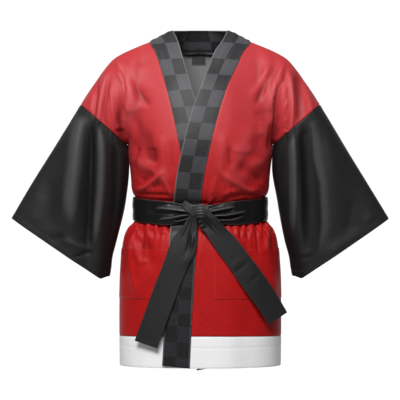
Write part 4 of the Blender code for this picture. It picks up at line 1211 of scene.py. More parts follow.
@dataclass(frozen=True)
class ClothFinish:
    """A woven cloth: its colour, gloss and threads."""

    name: str
    colour: Colour
    roughness: float
    sheen: float
    thread: float
    relief: float
    # the lighter colour of rubbed edges and of painted highlights on crests; flecks of the weave take it too
    edge: Colour
    blotch: float = 0.16
    tint: Colour = (1.0, 1.0, 1.0)
    gloss: float = 0.5
    top_lit: Optional[Colour] = None  # its colour painted lighter over the shoulders and chest, a painted highlight where the light from above falls
    pressed: float = 0.0  # how much it shines there

    def base(self, recipe: Recipe) -> Wire:
        """The cloth's colour before wear.

        Args:
            recipe: The material in the making.

        Returns:
            Slightly uneven dye, painted lighter towards the shoulders and chest as a painted highlight from
            the light above.
        """
        uneven = recipe.noise(30.0, 6.0)
        darker, lighter = (shaded(self.colour, 1 + change) for change in (-self.blotch, self.blotch))
        colour = recipe.colours(uneven, darker, lighter)
        if self.top_lit is None:
            return colour
        # painted highlight: the colour turns lighter upwards from the waist to the chest, where the light
        # from above falls
        high = recipe.place(2).step(-0.39, -0.13)
        if self.pressed:
            recipe.feed(Coat_Weight=high * self.pressed, Coat_Roughness=0.5)
        return recipe.colours(high * (0.9 + 0.2 * uneven), colour, self.top_lit)

    def make(self) -> Any:
        """The material: weave, dye, rubbed edges with painted highlights on crests, and painted shade in
        seams, creases and hollows.
        """
        recipe = Recipe(self.name)
        u, v = recipe.across("Cloth")
        turn = 2 * math.pi / self.thread
        twill = ((u + v) * turn).wave()
        weft = (v * (turn * 2)).wave()
        weave = twill * 0.3 + weft * 0.2 + 0.5
        slub = recipe.noise(420.0, 2.0)
        worn = recipe.node("ShaderNodeAttribute", {"attribute_name": "worn"}, output="Fac")
        tucked = recipe.node("ShaderNodeAttribute", {"attribute_name": "tucked"}, output="Fac")
        colour = self.base(recipe)
        colour = recipe.colours(weave * 0.16 + slub * 0.3 - 0.21, colour, shaded(self.edge, 0.9))
        # rubbed edges, and painted highlights on crests, in the lighter edge colour
        colour = recipe.colours(worn * (0.35 + 0.35 * slub), colour, self.edge)
        # painted shade: darker, towards a fifth of the colour, in seams, creases, hollows and under other
        # pieces
        colour = recipe.colours(tucked * 0.9, colour, shaded(self.colour, 0.2))
        recipe.feed(
            Base_Color=colour,
            Roughness=self.roughness + (slub - 0.5) * 0.12 + worn * 0.05,
            Sheen_Weight=self.sheen,
            Sheen_Roughness=0.45,
            Sheen_Tint=self.tint,
            Specular_IOR_Level=self.gloss,
        )
        rumple = recipe.node("ShaderNodeBump", inputs={
            "Strength": 0.5, "Distance": RUMPLE, "Height": recipe.noise(26.0, 4.0),
        })
        recipe.feed(Normal=recipe.node("ShaderNodeBump", inputs={
            "Strength": 0.35, "Distance": self.relief, "Height": weave * 0.6 + slub * 0.7, "Normal": rumple,
        }))
        return recipe.material


@dataclass(frozen=True)
class CheckFinish(ClothFinish):
    """Cloth with squares of two shades, by turns."""

    light: Colour = (0.1, 0.1, 0.1)
    light_top_lit: Colour = (0.1, 0.1, 0.1)

    def base(self, recipe: Recipe) -> Wire:
        """Args:
            recipe: The material in the making.

        Returns:
            The darker and the lighter square by turns, painted lighter towards the shoulders as a painted
            highlight from the light above.
        """
        across, along = recipe.across("Checks")
        odd = (across.floor() + along.floor()) % 2.0
        fleck = recipe.noise(60.0, 3.0)
        # painted highlight: both squares turn lighter upwards towards the shoulders
        high = recipe.place(2).step(-0.55, -0.05) * (0.85 + 0.3 * fleck)
        dark = recipe.colours(high, self.colour, self.top_lit)
        light = recipe.colours(high, self.light, self.light_top_lit)
        return recipe.colours(odd, dark, light)


@dataclass(frozen=True)
class ThreadFinish:
    """Sewing thread: twisted, with a soft gloss."""

    name: str
    colour: Colour

    def make(self) -> Any:
        """The material: a fine twist on a plain colour."""
        recipe = Recipe(self.name)
        twist = ((recipe.place(0) + recipe.place(2)) * 9000.0).wave() * 0.5 + 0.5
        recipe.feed(
            Base_Color=recipe.colours(twist, shaded(self.colour, 0.8), shaded(self.colour, 1.15)),
            Roughness=0.45 + twist * 0.15,
            Normal=recipe.node("ShaderNodeBump", inputs={
                "Strength": 0.4, "Distance": 0.0001, "Height": twist,
            }),
        )
        return recipe.material


@dataclass(frozen=True)
class PaperFinish:
    """The studio's paper: pale, matt and faintly uneven, glowing white behind the coat."""

    name: str
    colour: Colour

    def make(self) -> Any:
        """The material."""
        recipe = Recipe(self.name)
        grain = recipe.noise(3.0)
        behind = recipe.place(1).step(0.3, 1.1)
        recipe.feed(
            Base_Color=recipe.colours(grain, shaded(self.colour, 0.985), self.colour),
            Roughness=0.9,
            Emission_Color=recipe.colours(behind, (0.0, 0.0, 0.0), (1.0, 1.0, 1.0)),
            Emission_Strength=1.0,
        )
        return recipe.material


RED = ClothFinish(
    "red cloth", (0.38, 0.003, 0.003), 0.52, 0.02, 0.0009, 0.0001, (0.6, 0.12, 0.13), tint=(1.0, 0.55, 0.65),
    gloss=0.15, top_lit=(0.46, 0.036, 0.042), pressed=0.14,
)
BLACK = ClothFinish(
    "black cloth", (0.012, 0.012, 0.0124), 0.58, 0.01, 0.0009, 0.00012, (0.085, 0.085, 0.085), gloss=0.26
)
# the sash's black, painted darker on the wrap as painted shade at the waist; the ends keep the value between
SASH_SHADED = ClothFinish(
    "sash cloth in painted shade", (0.003, 0.0031, 0.0031), 0.4, 0.01, 0.0009, 0.0001, (0.085, 0.085, 0.085), gloss=0.28
)
TAIL = ClothFinish(
    "sash end cloth", (0.0165, 0.0165, 0.017), 0.54, 0.01, 0.0009, 0.0001, (0.04, 0.04, 0.04), gloss=0.22
)
# the same black as the sash, painted lighter on the knot as a painted highlight
KNOT_LIT = ClothFinish(
    "knot cloth painted lighter", (0.033, 0.033, 0.033), 0.5, 0.02, 0.0009, 0.0001, (0.06, 0.06, 0.06), gloss=0.36
)
WHITE = ClothFinish(
    "white cloth", (0.83, 0.83, 0.83), 0.55, 0.0, 0.0009, 0.0001, (0.9, 0.9, 0.9), blotch=0.03
)
LINING = ClothFinish(
    "cloth reverse", (0.19, 0.19, 0.188), 0.7, 0.0, 0.0009, 0.0001, (0.4, 0.4, 0.4), blotch=0.08
)
CHECK = CheckFinish(
    "check cloth", (0.004, 0.004, 0.0046), 0.48, 0.01, 0.0009, 0.0001, (0.26, 0.26, 0.27), gloss=0.2,
    top_lit=(0.026, 0.0255, 0.027), light=(0.012, 0.0124, 0.0155), light_top_lit=(0.07, 0.068, 0.075),
)
LABEL = ClothFinish(
    "woven label", (0.04, 0.04, 0.041), 0.55, 0.05, 0.0006, 0.00012, (0.3, 0.3, 0.3), blotch=0.5
)
RED_THREAD = ThreadFinish("red thread", (0.55, 0.02, 0.02))
GREY_THREAD = ThreadFinish("grey thread", (0.13, 0.13, 0.135))
BLACK_THREAD = ThreadFinish("black thread", (0.035, 0.035, 0.036))
WHITE_THREAD = ThreadFinish("white thread", (0.72, 0.72, 0.72))
Finish = Union[ClothFinish, ThreadFinish, PaperFinish]


class Shop:
    """Keeps each material once it is made."""

    made: Dict[str, Any] = {}

    @classmethod
    def of(cls, finish: Finish) -> Any:
        """The finish's material."""
        if finish.name not in cls.made:
            cls.made[finish.name] = finish.make()
        return cls.made[finish.name]


# ---------------------------------------------------------------- cloth in the making


@dataclass
class Sheet:
    """Cloth as rows of points, with what its material reads."""

    points: Array
    normals: Array
    checks: Optional[Array] = None
    # rubbed edges, and painted highlights on the crests of folds
    worn: Optional[Array] = None
    # painted shade in seams, creases and hollows and under other pieces
    tucked: Optional[Array] = None

    @property
    def measured(self) -> Array:
        """Metres along the rows and up the columns, for the weave."""
        across = np.linalg.norm(np.diff(self.points, axis=1), axis=2).cumsum(axis=1)
        up = np.linalg.norm(np.diff(self.points, axis=0), axis=2).cumsum(axis=0)
        across = np.pad(across, ((0, 0), (1, 0)))
        up = np.pad(up, ((1, 0), (0, 0)))
        return np.stack([across, up], axis=2)

    @property
    def to_end(self) -> Array:
        """Metres from each point up its column to the last row."""
        measured = self.measured[..., 1]
        return measured[-1:] - measured


class Edge(Enum):
    """One edge of a sheet."""

    FIRST_ROW = "first row"
    LAST_ROW = "last row"
    FIRST_COLUMN = "first column"
    LAST_COLUMN = "last column"


def tuck(sheet: Sheet, edge: Edge, depth: float, keep: Optional[Array] = None) -> Sheet:
    """A sheet with a seam allowance turned in under its neighbour.

    Args:
        sheet: The cloth.
        edge: Where the allowance is turned in.
        depth: How far below the cloth's edge the allowance lies.
        keep: For each point of the edge, 1 where it has the allowance and 0 where it has none.

    Returns:
        The wider sheet.
    """
    grids = [sheet.points, sheet.normals, sheet.checks, sheet.worn, sheet.tucked]
    turned = edge in (Edge.FIRST_ROW, Edge.LAST_ROW)
    back = edge in (Edge.LAST_ROW, Edge.LAST_COLUMN)
    grids = [g if g is None or turned else np.swapaxes(g, 0, 1) for g in grids]
    grids = [g[::-1] if back and g is not None else g for g in grids]
    points, normals = grids[0], grids[1]
    away = unit(points[0] - points[1])
    share = np.ones(len(away))[:, None] if keep is None else np.asarray(keep, float)[:, None]
    near = points[0] + share * (away * 0.0002 - normals[0] * depth)
    far = points[0] + share * (away * ALLOWANCE - normals[0] * depth * 1.1)
    grids[0] = np.concatenate([[far, near], points])
    grids[1:4] = [g if g is None else np.concatenate([g[:1], g[:1], g]) for g in grids[1:4]]
    # the two turned rows are painted in full shade, where the allowance lies under its neighbour
    shade = np.zeros(points.shape[:2]) if grids[4] is None else grids[4]
    grids[4] = np.concatenate([np.ones((2, shade.shape[1])), shade])
    grids = [g[::-1] if back and g is not None else g for g in grids]
    return Sheet(*(g if g is None or turned else np.swapaxes(g, 0, 1) for g in grids))


def only(thing: Any) -> None:
    """Selects one object and makes it active.

    Args:
        thing: The object.
    """
    bpy.ops.object.select_all(action="DESELECT")
    thing.select_set(True)
    bpy.context.view_layer.objects.active = thing


def modify(thing: Any, kind: str, **settings: Any) -> None:
    """Adds a modifier and applies it.

    Args:
        thing: The piece.
        kind: The modifier's type.
        settings: Its settings.
    """
    only(thing)
    modifier = thing.modifiers.new(kind.lower(), kind)
    for key, value in settings.items():
        setattr(modifier, key, value)
    bpy.ops.object.modifier_apply(modifier=modifier.name)


def in_edit_mode(thing: Any, *steps: Tuple[Any, Dict[str, Any]]) -> None:
    """Runs mesh operators on the whole of a piece.

    Args:
        thing: The piece.
        steps: Operators with their settings.
    """
    only(thing)
    bpy.ops.object.mode_set(mode="EDIT")
    bpy.ops.mesh.select_all(action="SELECT")
    for operator, settings in steps:
        operator(**settings)
    bpy.ops.object.mode_set(mode="OBJECT")


def lay_out(name: str, sheet: Sheet) -> Any:
    """A grid laid over a sheet's points, with its maps.

    Args:
        name: The piece's name.
        sheet: Its points and what its material reads.

    Returns:
        The piece, one layer thick, facing outwards.
    """
    rows, columns = sheet.points.shape[:2]
    bpy.ops.object.select_all(action="DESELECT")
    bpy.ops.mesh.primitive_grid_add(x_subdivisions=columns - 1, y_subdivisions=rows - 1, size=1.0)
    piece = bpy.context.active_object
    piece.name = piece.data.name = name
    mesh = piece.data
    flat = np.zeros(len(mesh.vertices) * 3)
    mesh.vertices.foreach_get("co", flat)
    flat = flat.reshape(-1, 3)
    i = np.rint((flat[:, 1] + 0.5) * (rows - 1)).astype(int)
    j = np.rint((flat[:, 0] + 0.5) * (columns - 1)).astype(int)
    mesh.vertices.foreach_set("co", sheet.points[i, j].ravel())
    corner = np.zeros(len(mesh.loops), int)
    mesh.loops.foreach_get("vertex_index", corner)
    layers = {"Cloth": sheet.measured}
    if sheet.checks is not None:
        layers["Checks"] = sheet.checks
    mesh.uv_layers[0].name = "Cloth"
    for key, grid in layers.items():
        layer = mesh.uv_layers.get(key) or mesh.uv_layers.new(name=key)
        layer.data.foreach_set("uv", grid[i, j][corner].ravel())
    for key, grid in (("worn", sheet.worn), ("tucked", sheet.tucked)):
        attribute = mesh.attributes.new(key, "FLOAT", "POINT")
        values = np.zeros(len(i)) if grid is None else grid[i, j]
        attribute.data.foreach_set("value", values)
    mesh.update()
    normals = np.zeros(len(mesh.vertices) * 3)
    mesh.vertices.foreach_get("normal", normals)
    if (normals.reshape(-1, 3) * sheet.normals[i, j]).sum() < 0:
        in_edit_mode(piece, (bpy.ops.mesh.flip_normals, {}))
    return piece


def sew(
    node: str,
    sheets: Sequence[Sheet],
    thickness: float,
    outside: ClothFinish,
    inside: Optional[ClothFinish] = None,
) -> Any:
    """Makes a piece of cloth from its sheets.

    Args:
        node: The solid that the piece stands for, and is named after.
        sheets: One grid of points, or several that meet.
        thickness: How thick the cloth is, inwards.
        outside: The finish that shows.
        inside: The finish of the reverse, if it differs.

    Returns:
        The finished piece.
    """
    name = node + "_cloth"
    made = [lay_out(name, sheet) for sheet in sheets]
    piece = made[0]
    if len(made) > 1:
        only(piece)
        for other in made[1:]:
            other.select_set(True)
        bpy.ops.object.join()
    piece.name = piece.data.name = name
    in_edit_mode(piece, (bpy.ops.mesh.remove_doubles, {"threshold": 2e-5}))
    piece.data.materials.clear()
    for finish in (outside, inside or outside):
        piece.data.materials.append(Shop.of(finish))
    modify(
        piece, "SOLIDIFY", thickness=thickness, offset=-1.0, use_rim=True,
        material_offset=0 if inside is None else 1,
    )
    only(piece)
    bpy.ops.object.shade_smooth_by_angle(angle=math.radians(60))
    return settle(piece, node)


def settle(piece: Any, node: Optional[str]) -> Any:
    """Lets a piece ride on the coat and hides the solid that it stands for.

    Args:
        piece: The piece.
        node: The solid that it stands for, if any.

    Returns:
        The piece.
    """
    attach(piece, "root")
    if node:
        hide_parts(node)
    return piece


def near_edges(
    sheet: Sheet, left: float = 0.0, right: float = 0.0, low: float = 0.0, high: float = 0.0
) -> Array:
    """How near each point lies to chosen edges of its sheet.

    Args:
        sheet: The cloth.
        left: How far from the first column it counts, or 0.
        right: How far from the last column.
        low: How far from the first row.
        high: How far from the last row.

    Returns:
        1 at an edge and 0 beyond its distance.
    """
    measured = sheet.measured
    across, up = measured[..., 0], measured[..., 1]
    found = np.zeros(across.shape)
    for distance, reach in (
        (across, left), (across[:, -1:] - across, right), (up, low), (up[-1:] - up, high)
    ):
        if reach:
            found = np.maximum(found, 1 - np.clip(distance / reach, 0, 1))
    return found


def hollows(sheet: Sheet, depth: float, spread: int) -> Array:
    """How far each point lies sunk in a crease.

    Args:
        sheet: The cloth.
        depth: How deep counts as fully sunk.
        spread: How many points away its neighbours reach, squared.

    Returns:
        0 on the flat and on ridges, up to 1 in the deepest creases.
    """
    mean = sheet.points.copy()
    for _ in range(spread):
        mean[1:-1] = (mean[:-2] + 2 * mean[1:-1] + mean[2:]) / 4
        mean[:, 1:-1] = (mean[:, :-2] + 2 * mean[:, 1:-1] + mean[:, 2:]) / 4
    return np.clip(((mean - sheet.points) * sheet.normals).sum(axis=2) / depth, 0, 1)


STITCH_PITCH = 0.0036
STITCH_HALF = 0.00036  # half a stitch's thickness
STITCH_HALF_LENGTH = 0.36  # of its pitch
STITCH_SLANT = math.radians(6)


def thread_row(
    name: str, line: Array, finish: ThreadFinish, pitch: float = STITCH_PITCH
) -> Any:
    """A row of stitches along a line.

    Args:
        name: The row's name.
        line: Points on the cloth that the row follows.
        finish: The thread's finish.
        pitch: How far apart the stitches are.

    Returns:
        The row as one piece.
    """
    length = float(np.linalg.norm(np.diff(line, axis=0), axis=1).sum())
    path = bpy.data.curves.new(name + "_line", "CURVE")
    path.dimensions = "3D"
    spline = path.splines.new("POLY")
    spline.points.add(len(line) - 1)
    spline.points.foreach_set("co", np.pad(line, ((0, 0), (0, 1))).ravel())
    guide = bpy.data.objects.new(name + "_line", path)
    bpy.context.scene.collection.objects.link(guide)
    bpy.ops.object.select_all(action="DESELECT")
    bpy.ops.mesh.primitive_uv_sphere_add(segments=6, ring_count=4, radius=1.0)
    stitch = bpy.context.active_object
    stitch.name = stitch.data.name = name
    stitch.scale = (pitch * STITCH_HALF_LENGTH, STITCH_HALF, STITCH_HALF)
    stitch.rotation_euler = (0, 0, STITCH_SLANT)
    bpy.ops.object.transform_apply(location=False, rotation=True, scale=True)
    in_edit_mode(stitch, (bpy.ops.transform.translate, {"value": (pitch / 2, 0, 0)}))
    modify(
        stitch, "ARRAY", count=max(1, int(length / pitch)), use_relative_offset=False,
        use_constant_offset=True, constant_offset_displace=(pitch, 0, 0),
    )
    modify(stitch, "CURVE", object=guide, deform_axis="POS_X")
    bpy.data.objects.remove(guide)
    stitch.data.materials.append(Shop.of(finish))
    only(stitch)
    bpy.ops.object.shade_smooth()
    return settle(stitch, None)


# ---------------------------------------------------------------- the coat's pieces


@dataclass
class FrontHalf:
    """One front of the coat: red panel, white hem, patch pocket and check band."""

    side: Side
    band: Table
    folds: Table
    creases: Strokes
    gathers: Gathers
    panel_flat: Tuple[float, float]
    panel_area: float
    hem_flat: Tuple[float, float]
    band_flat: Tuple[float, float]
    hem_corner: float  # how far the band's seam corner hangs below the hem

    @property
    def upper(self) -> bool:
        """Whether this front laps over the other."""
        return self.side is Side.LEFT

    def surface(
        self, v: Number, q: Array, shares: Number = 0.0
    ) -> Tuple[Array, Array]:
        """This front's outside.

        Args:
            v: The skin's rows.
            q: Places across, on this front's own side.
            shares: Share of the way across the panel, for the gathers.

        Returns:
            Points and normals.
        """
        points, normals = FRONT.at(v, self.side.value * q)
        push = fold_push(points, self.folds, self.side.value)
        push = (push + crease_push(points, self.creases, self.side.value)) * free_of_seams(v, q)
        push = push + self.gathers.push(points, np.broadcast_to(shares, push.shape))
        if self.upper:
            push = push + lap_push(points)
        return points + normals * push[..., None], normals

    def seam(self, v_values: Array, gap: float = SEAM_GAP / 2) -> Array:
        """The q of the band's seam on each row, a gap away from the seam's own line."""
        return np.array([FRONT.crossing(float(v), self.band, 1, gap) for v in v_values])

    def places(self, v_values: Array, shares: Array) -> Tuple[Array, Array, Array]:
        """Places of the panel's points.

        Args:
            v_values: The rows.
            shares: Shares of the way from the band's seam to the side.

        Returns:
            Grids of v, q and share.
        """
        start = self.seam(v_values)[:, None]
        q = start + (1 - start) * shares
        v, share = np.broadcast_arrays(v_values[:, None], shares)
        return v, q, share

    def cut(self, v_values: Array, low_seam: float, high_seam: float) -> Sheet:
        """The panel's cloth over some rows.

        Args:
            v_values: The rows.
            low_seam: How far the seam at its foot is felt.
            high_seam: The same at its top.

        Returns:
            The sheet, drawn in along its seams.
        """
        shares = np.concatenate([
            [0.0, 0.006, 0.013], spaced(0.022, 0.982, step=MIDDLE / PANEL_WIDE), [0.99, 0.996, 1.0],
        ])
        v, q, share = self.places(v_values, shares)
        points, normals = self.surface(v, q, share)
        sheet = Sheet(points, normals)
        seam = near_edges(sheet, left=0.0045, right=0.0035, low=low_seam, high=high_seam)
        points -= normals * (SEAM_PULL * seam**2)[..., None]
        rows = v_values <= 1
        points[rows, -1, 1] = -SEAM_GAP / 2
        if v_values[-1] == 2:
            points[-1, :, 1] = -SEAM_GAP / 2
        # painted shade along the seams
        edge = near_edges(sheet, left=0.0016, right=0.0012, low=low_seam / 3, high=high_seam / 3)
        own = self.side.value
        bare = FRONT.at(v, own * q)[0]
        crest = crease_push(bare, self.creases, own) + fold_push(bare, self.folds, own)
        # troughs of the creases get painted shade, ridges painted highlights
        troughs, ridges = smooth_step(crest, -0.0006, -0.0045), smooth_step(crest, 0.0012, 0.005)
        sheet.tucked = np.maximum(edge, np.maximum(0.45 * hollows(sheet, 0.002, 18), 0.62 * troughs))
        # painted highlight on the ridges, stronger higher up where the light from above falls
        sheet.worn = (0.24 + 0.21 * smooth_step(points[..., 2], -0.38, -0.2)) * ridges
        return sheet

    def panel(self) -> Any:
        """The red front, from the hem band up to the shoulder seam."""
        v_values = panel_rows(LOOSE, FINE, MIDDLE, spaced(1.0, TOP_V, step=0.01))
        name = f"front_{self.side.word}"
        sheet = tuck(self.cut(v_values, 0.004, 0.004), Edge.FIRST_COLUMN, 0.0018)
        sheet = tuck(sheet, Edge.LAST_COLUMN, 0.0015, keep=v_values < 1)
        sheet = tuck(sheet, Edge.LAST_ROW, 0.0015)
        piece = sew(name, [sheet], CLOTH, RED, LINING)
        return piece

    def hem(self) -> Any:
        """The white band along the hem, doubled, with its fold at the foot."""
        sheet = self.cut(hem_rows(), 0.0, 0.004)
        fold = near_edges(sheet, low=0.003)
        sheet.points -= sheet.normals * (0.0008 * fold**2)[..., None]
        line = bell(sheet.measured[..., 1], 0.047, 0.0016)
        sheet.points -= sheet.normals * (0.0005 * line)[..., None]
        sheet.worn = near_edges(sheet, low=0.002)
        for edge, depth in ((Edge.LAST_ROW, 0.0014), (Edge.FIRST_COLUMN, 0.002), (Edge.LAST_COLUMN, 0.002)):
            sheet = tuck(sheet, edge, depth)
        name = f"hem_band_{self.side.word}"
        piece = sew(name, [sheet], HEM_CLOTH, WHITE)
        return piece

    def stitched(self, name: str, v: Array, q: Array, finish: ThreadFinish, lift: float) -> Any:
        """A row of stitches on this front.

        Args:
            name: The row's name.
            v: Its places on the skin.
            q: The same, across.
            finish: The thread.
            lift: How far the row lies off the panel.

        Returns:
            The row.
        """
        start = self.seam(v)
        shares = np.clip((q - start) / (1 - start), 0, 1)
        points, normals = self.surface(v, q, shares)
        return thread_row(name, points + normals * lift, finish)

    def pocket(self) -> None:
        """A patch pocket with its turned mouth and two sides of stitching."""
        heights = np.concatenate([
            [POCKET_LOW_Z, POCKET_LOW_Z + 0.0012],
            spaced(POCKET_LOW_Z + 0.003, POCKET_HIGH_Z - 0.003, step=0.003),
            [POCKET_HIGH_Z - 0.001, POCKET_HIGH_Z],
        ])
        v_values = height_to_v(heights)
        inner_edge = ((-1.0, POCKET_IN_X), (1.0, POCKET_IN_X))
        first = np.array([FRONT.crossing(v, inner_edge, 1) for v in v_values])[:, None]
        across = np.concatenate([[0.0, 0.006], spaced(0.015, 0.985, step=0.018), [0.994, 1.0]])
        q = first + (POCKET_SIDE_Q - first) * across
        start = self.seam(v_values)[:, None]
        points, normals = self.surface(v_values[:, None], q, (q - start) / (1 - start))
        sheet = Sheet(points, normals)
        crown = 1 - near_edges(sheet, left=0.003, right=0.003, low=0.003) ** 2
        mouth = near_edges(sheet, high=0.02)
        mouth_line = bell(sheet.to_end, 0.018, 0.0016)
        rise = 0.001 + 0.0004 * crown + 0.0004 * smooth_step(mouth, 0.0, 0.1) * crown - 0.0004 * mouth_line
        rise = rise - 0.0008 * near_edges(sheet, left=0.0018, right=0.014, low=0.0018)
        sheet.points = points + normals * rise[..., None]
        sheet.worn = 0.25 * near_edges(sheet, left=0.0014, right=0.0014, low=0.0014, high=0.0014)
        name = f"pocket_{self.side.word}"
        piece = sew(name, [sheet], POCKET_CLOTH, RED)
        inset, lift, count = 0.004, 0.0014, 70
        low_v = np.full(count, height_to_v(POCKET_LOW_Z + inset))
        ends = height_to_v(np.array([POCKET_LOW_Z + inset, POCKET_HIGH_Z - 0.001]))
        side_v = spaced(*ends, step=0.006)
        stitch_line = ((-1.0, POCKET_IN_X + inset), (1.0, POCKET_IN_X + inset))
        inner = FRONT.crossing(float(low_v[0]), stitch_line, 1)
        foot_q, side_q = np.linspace(inner, POCKET_SIDE_Q - 0.05, count), np.full(len(side_v), inner)
        for word, v, q in (("foot", low_v, foot_q), ("side", side_v, side_q)):
            self.stitched(f"{name}_{word}_stitches", v, q, RED_THREAD, lift)

    def band_rows(self, v_values: Array, across: Array) -> Tuple[Array, Array, Array]:
        """The band's rows in front.

        Args:
            v_values: The rows.
            across: Shares across the band.

        Returns:
            Points, normals and check map.
        """
        seam = self.seam(v_values, -SEAM_GAP / 2)[:, None]
        free = np.array([FRONT.crossing(v, self.band, 2) for v in v_values])[:, None]
        q = seam + (free - seam) * across
        points, normals = self.surface(v_values[:, None], q)
        z = points[..., 2] - CHECK_TILT * (across - 0.5)
        along = np.interp(z, CHECK_HEIGHTS[::-1], np.arange(len(CHECK_HEIGHTS))[::-1])
        over = z > CHECK_HEIGHTS[0]
        along = np.where(over, (CHECK_HEIGHTS[0] - z) / SQUARE_ABOVE, along)
        below = z < CHECK_HEIGHTS[-1]
        along = np.where(below, len(CHECK_HEIGHTS) - 1 + (CHECK_HEIGHTS[-1] - z) / SQUARE_BELOW, along)
        checks = np.stack([np.broadcast_to(across * SQUARES_ACROSS, z.shape), along + FIRST_SQUARE], axis=2)
        return points, normals, checks

    def band_cloth(self) -> Any:
        """The band: up the front's edge, over the shoulder and round to the middle of the neck."""
        across = np.concatenate([[0.0, 0.02, 0.05], np.linspace(0.1, 0.9, 9), [0.95, 0.98, 1.0]])
        heights = spaced(HEM_Z, -0.5, -0.33, ARMPIT_Z, step=0.0042)
        v_values = np.concatenate([height_to_v(heights[:-1]), spaced(1.0, 2.0, step=0.018)])
        points, normals, checks = self.band_rows(v_values, across)
        foot = smooth_step(v_values, 0.06, 0.0)[:, None]
        points[..., 2] += foot * (BAND_END_RISE * across - self.hem_corner * (1 - across))
        back_points, back_normals, back_checks = self.behind_neck(across, checks[-1, :, 1])
        points = np.concatenate([points, back_points])
        normals = np.concatenate([normals, back_normals])
        checks = np.concatenate([checks, back_checks])
        sheet = Sheet(points, normals, checks)
        edge = near_edges(sheet, left=0.004, right=0.005, low=0.004)
        rise = BAND_PROUD + 0.0008 * (1 - edge**2)
        rise = rise + self.pleats(points, across)
        sheet.points = points + normals * rise[..., None]
        # lighter along both edges: partly rubbed wear, partly a painted highlight on the rolled edges
        sheet.worn = np.maximum(near_edges(sheet, right=0.0032), 0.8 * near_edges(sheet, left=0.002))
        behind = np.arange(len(points)) >= len(v_values)
        # painted shade on the band behind the neck, darkest at its seam
        sheet.tucked = near_edges(sheet, left=0.012) ** 0.5 * behind[:, None]
        sheet.worn = sheet.worn * ~behind[:, None]
        name = f"collar_{self.side.word}"
        turned = tuck(sheet, Edge.FIRST_COLUMN, 0.0031, keep=behind)
        piece = sew(name, [turned], BAND_CLOTH, CHECK)
        self.band_stitches(sheet)
        return piece

    def pleats(self, points: Array, across: Array) -> Array:
        """The soft upright creases where the band turns over the shoulder.

        Args:
            points: The band's points.
            across: Shares across the band.

        Returns:
            How far each point is pushed out.
        """
        near = smooth_step(points[..., 2], -0.075, -0.03) * smooth_step(points[..., 1], 0.03, -0.01)
        turn = 2 * math.pi * (across * 3.1 + 0.15 * self.side.value)
        return near * 0.0009 * np.sin(turn) * smooth_step(np.abs(across - 0.5), 0.5, 0.4)

    def behind_neck(self, across: Array, first: Array) -> Tuple[Array, Array, Array]:
        """The band's rows behind the neck, from just past the shoulder seam to the centre.

        Args:
            across: Shares across the band.
            first: The check map's rows where the band leaves the front.

        Returns:
            Points, normals and check map.
        """
        v_values = spaced(1.0 + 0.985, 1.0 + NECK_POINT_UP, step=0.0115)
        seam = [BACK.at(v, neck_q(v, 0.0)) for v in v_values]
        rows, normals = [], []
        for k, (low, out) in enumerate(seam):
            last = k == len(v_values) - 1
            if last:
                tangent = np.array((1.0, 0, 0))
            else:
                tangent = seam[max(k - 1, 0)][0] - seam[k + 1][0]
            inward = unit(np.cross(tangent, out))
            low = low + inward * SEAM_GAP * np.sign(inward[2])
            turn = math.atan2(low[1] / NECK_BACK, low[0] / NECK_HALF)
            top = np.array((
                COLLAR_TOP_HALF * math.cos(turn),
                COLLAR_TOP_BACK * math.sin(turn),
                COLLAR_TOP_SIDE_Z + (COLLAR_TOP_BACK_Z - COLLAR_TOP_SIDE_Z) * math.sin(turn),
            ))
            along = np.array((-COLLAR_TOP_HALF * math.sin(turn), COLLAR_TOP_BACK * math.cos(turn), 0))
            own = unit(np.cross(along, top - low))
            own = own * np.sign(own @ out)
            line = low + (top - low) * across[:, None]
            faced = out + (own - out) * across[:, None]
            if last:
                line[:, 0], faced[:, 0] = 0.00005, 0.0
            rows.append(line * (self.side.value, 1, 1))
            normals.append(unit(faced * (self.side.value, 1, 1)))
        points = np.array(rows)
        steps = np.linalg.norm(np.diff(points[:, -1], axis=0), axis=1)
        share = np.concatenate([[0.02], 0.02 + 0.98 * steps.cumsum() / steps.sum()])[:, None]
        centre = self.side.value * 0.15
        end = FIRST_SQUARE - BACK_CHECKS + 0.5 + centre
        squares = np.broadcast_to(across * SQUARES_ACROSS, points.shape[:2])
        checks = np.stack([squares, first + (end - first) * share], axis=2)
        return points, np.array(normals), checks

    def band_stitches(self, sheet: Sheet) -> None:
        """Edge stitching along the band's free edge and beside its seam."""
        name = f"collar_{self.side.word}"
        for label, column_at in (("edge", -3), ("seam", 2)):
            line = sheet.points[2:-2, column_at] + sheet.normals[2:-2, column_at] * STITCH_LIFT
            thread_row(f"{name}_{label}_stitches", line, GREY_THREAD)

    def build(self) -> None:
        """Makes every piece of this front."""
        self.panel()
        self.hem()
        self.pocket()
        self.band_cloth()
        shares = np.linspace(0.03, 0.975, 90)
        hem_v = np.full(len(shares), height_to_v(CONTRAST_Z - HEM_STITCH_DROP))
        start = self.seam(hem_v[:1])
        hem_q = start + (1 - start) * shares
        name = f"hem_band_{self.side.word}_stitches"
        self.stitched(name, hem_v, hem_q, WHITE_THREAD, -0.0002)


def neck_q(v: float, gap: float) -> float:
    """Where a row of the back starts.

    Args:
        v: The row.
        gap: How far outside the neck seam.

    Returns:
        The q of the centre line or, above the neck point, of the neck seam.
    """
    if v <= 1 + NECK_POINT_UP:
        return 0.0
    q = np.linspace(0, 1, 2001)
    points, _ = BACK.at(v, q)
    value = (points[:, 0] / (NECK_HALF + gap)) ** 2 + (points[:, 1] / (NECK_BACK + gap)) ** 2 - 1
    return first_root(q, value)


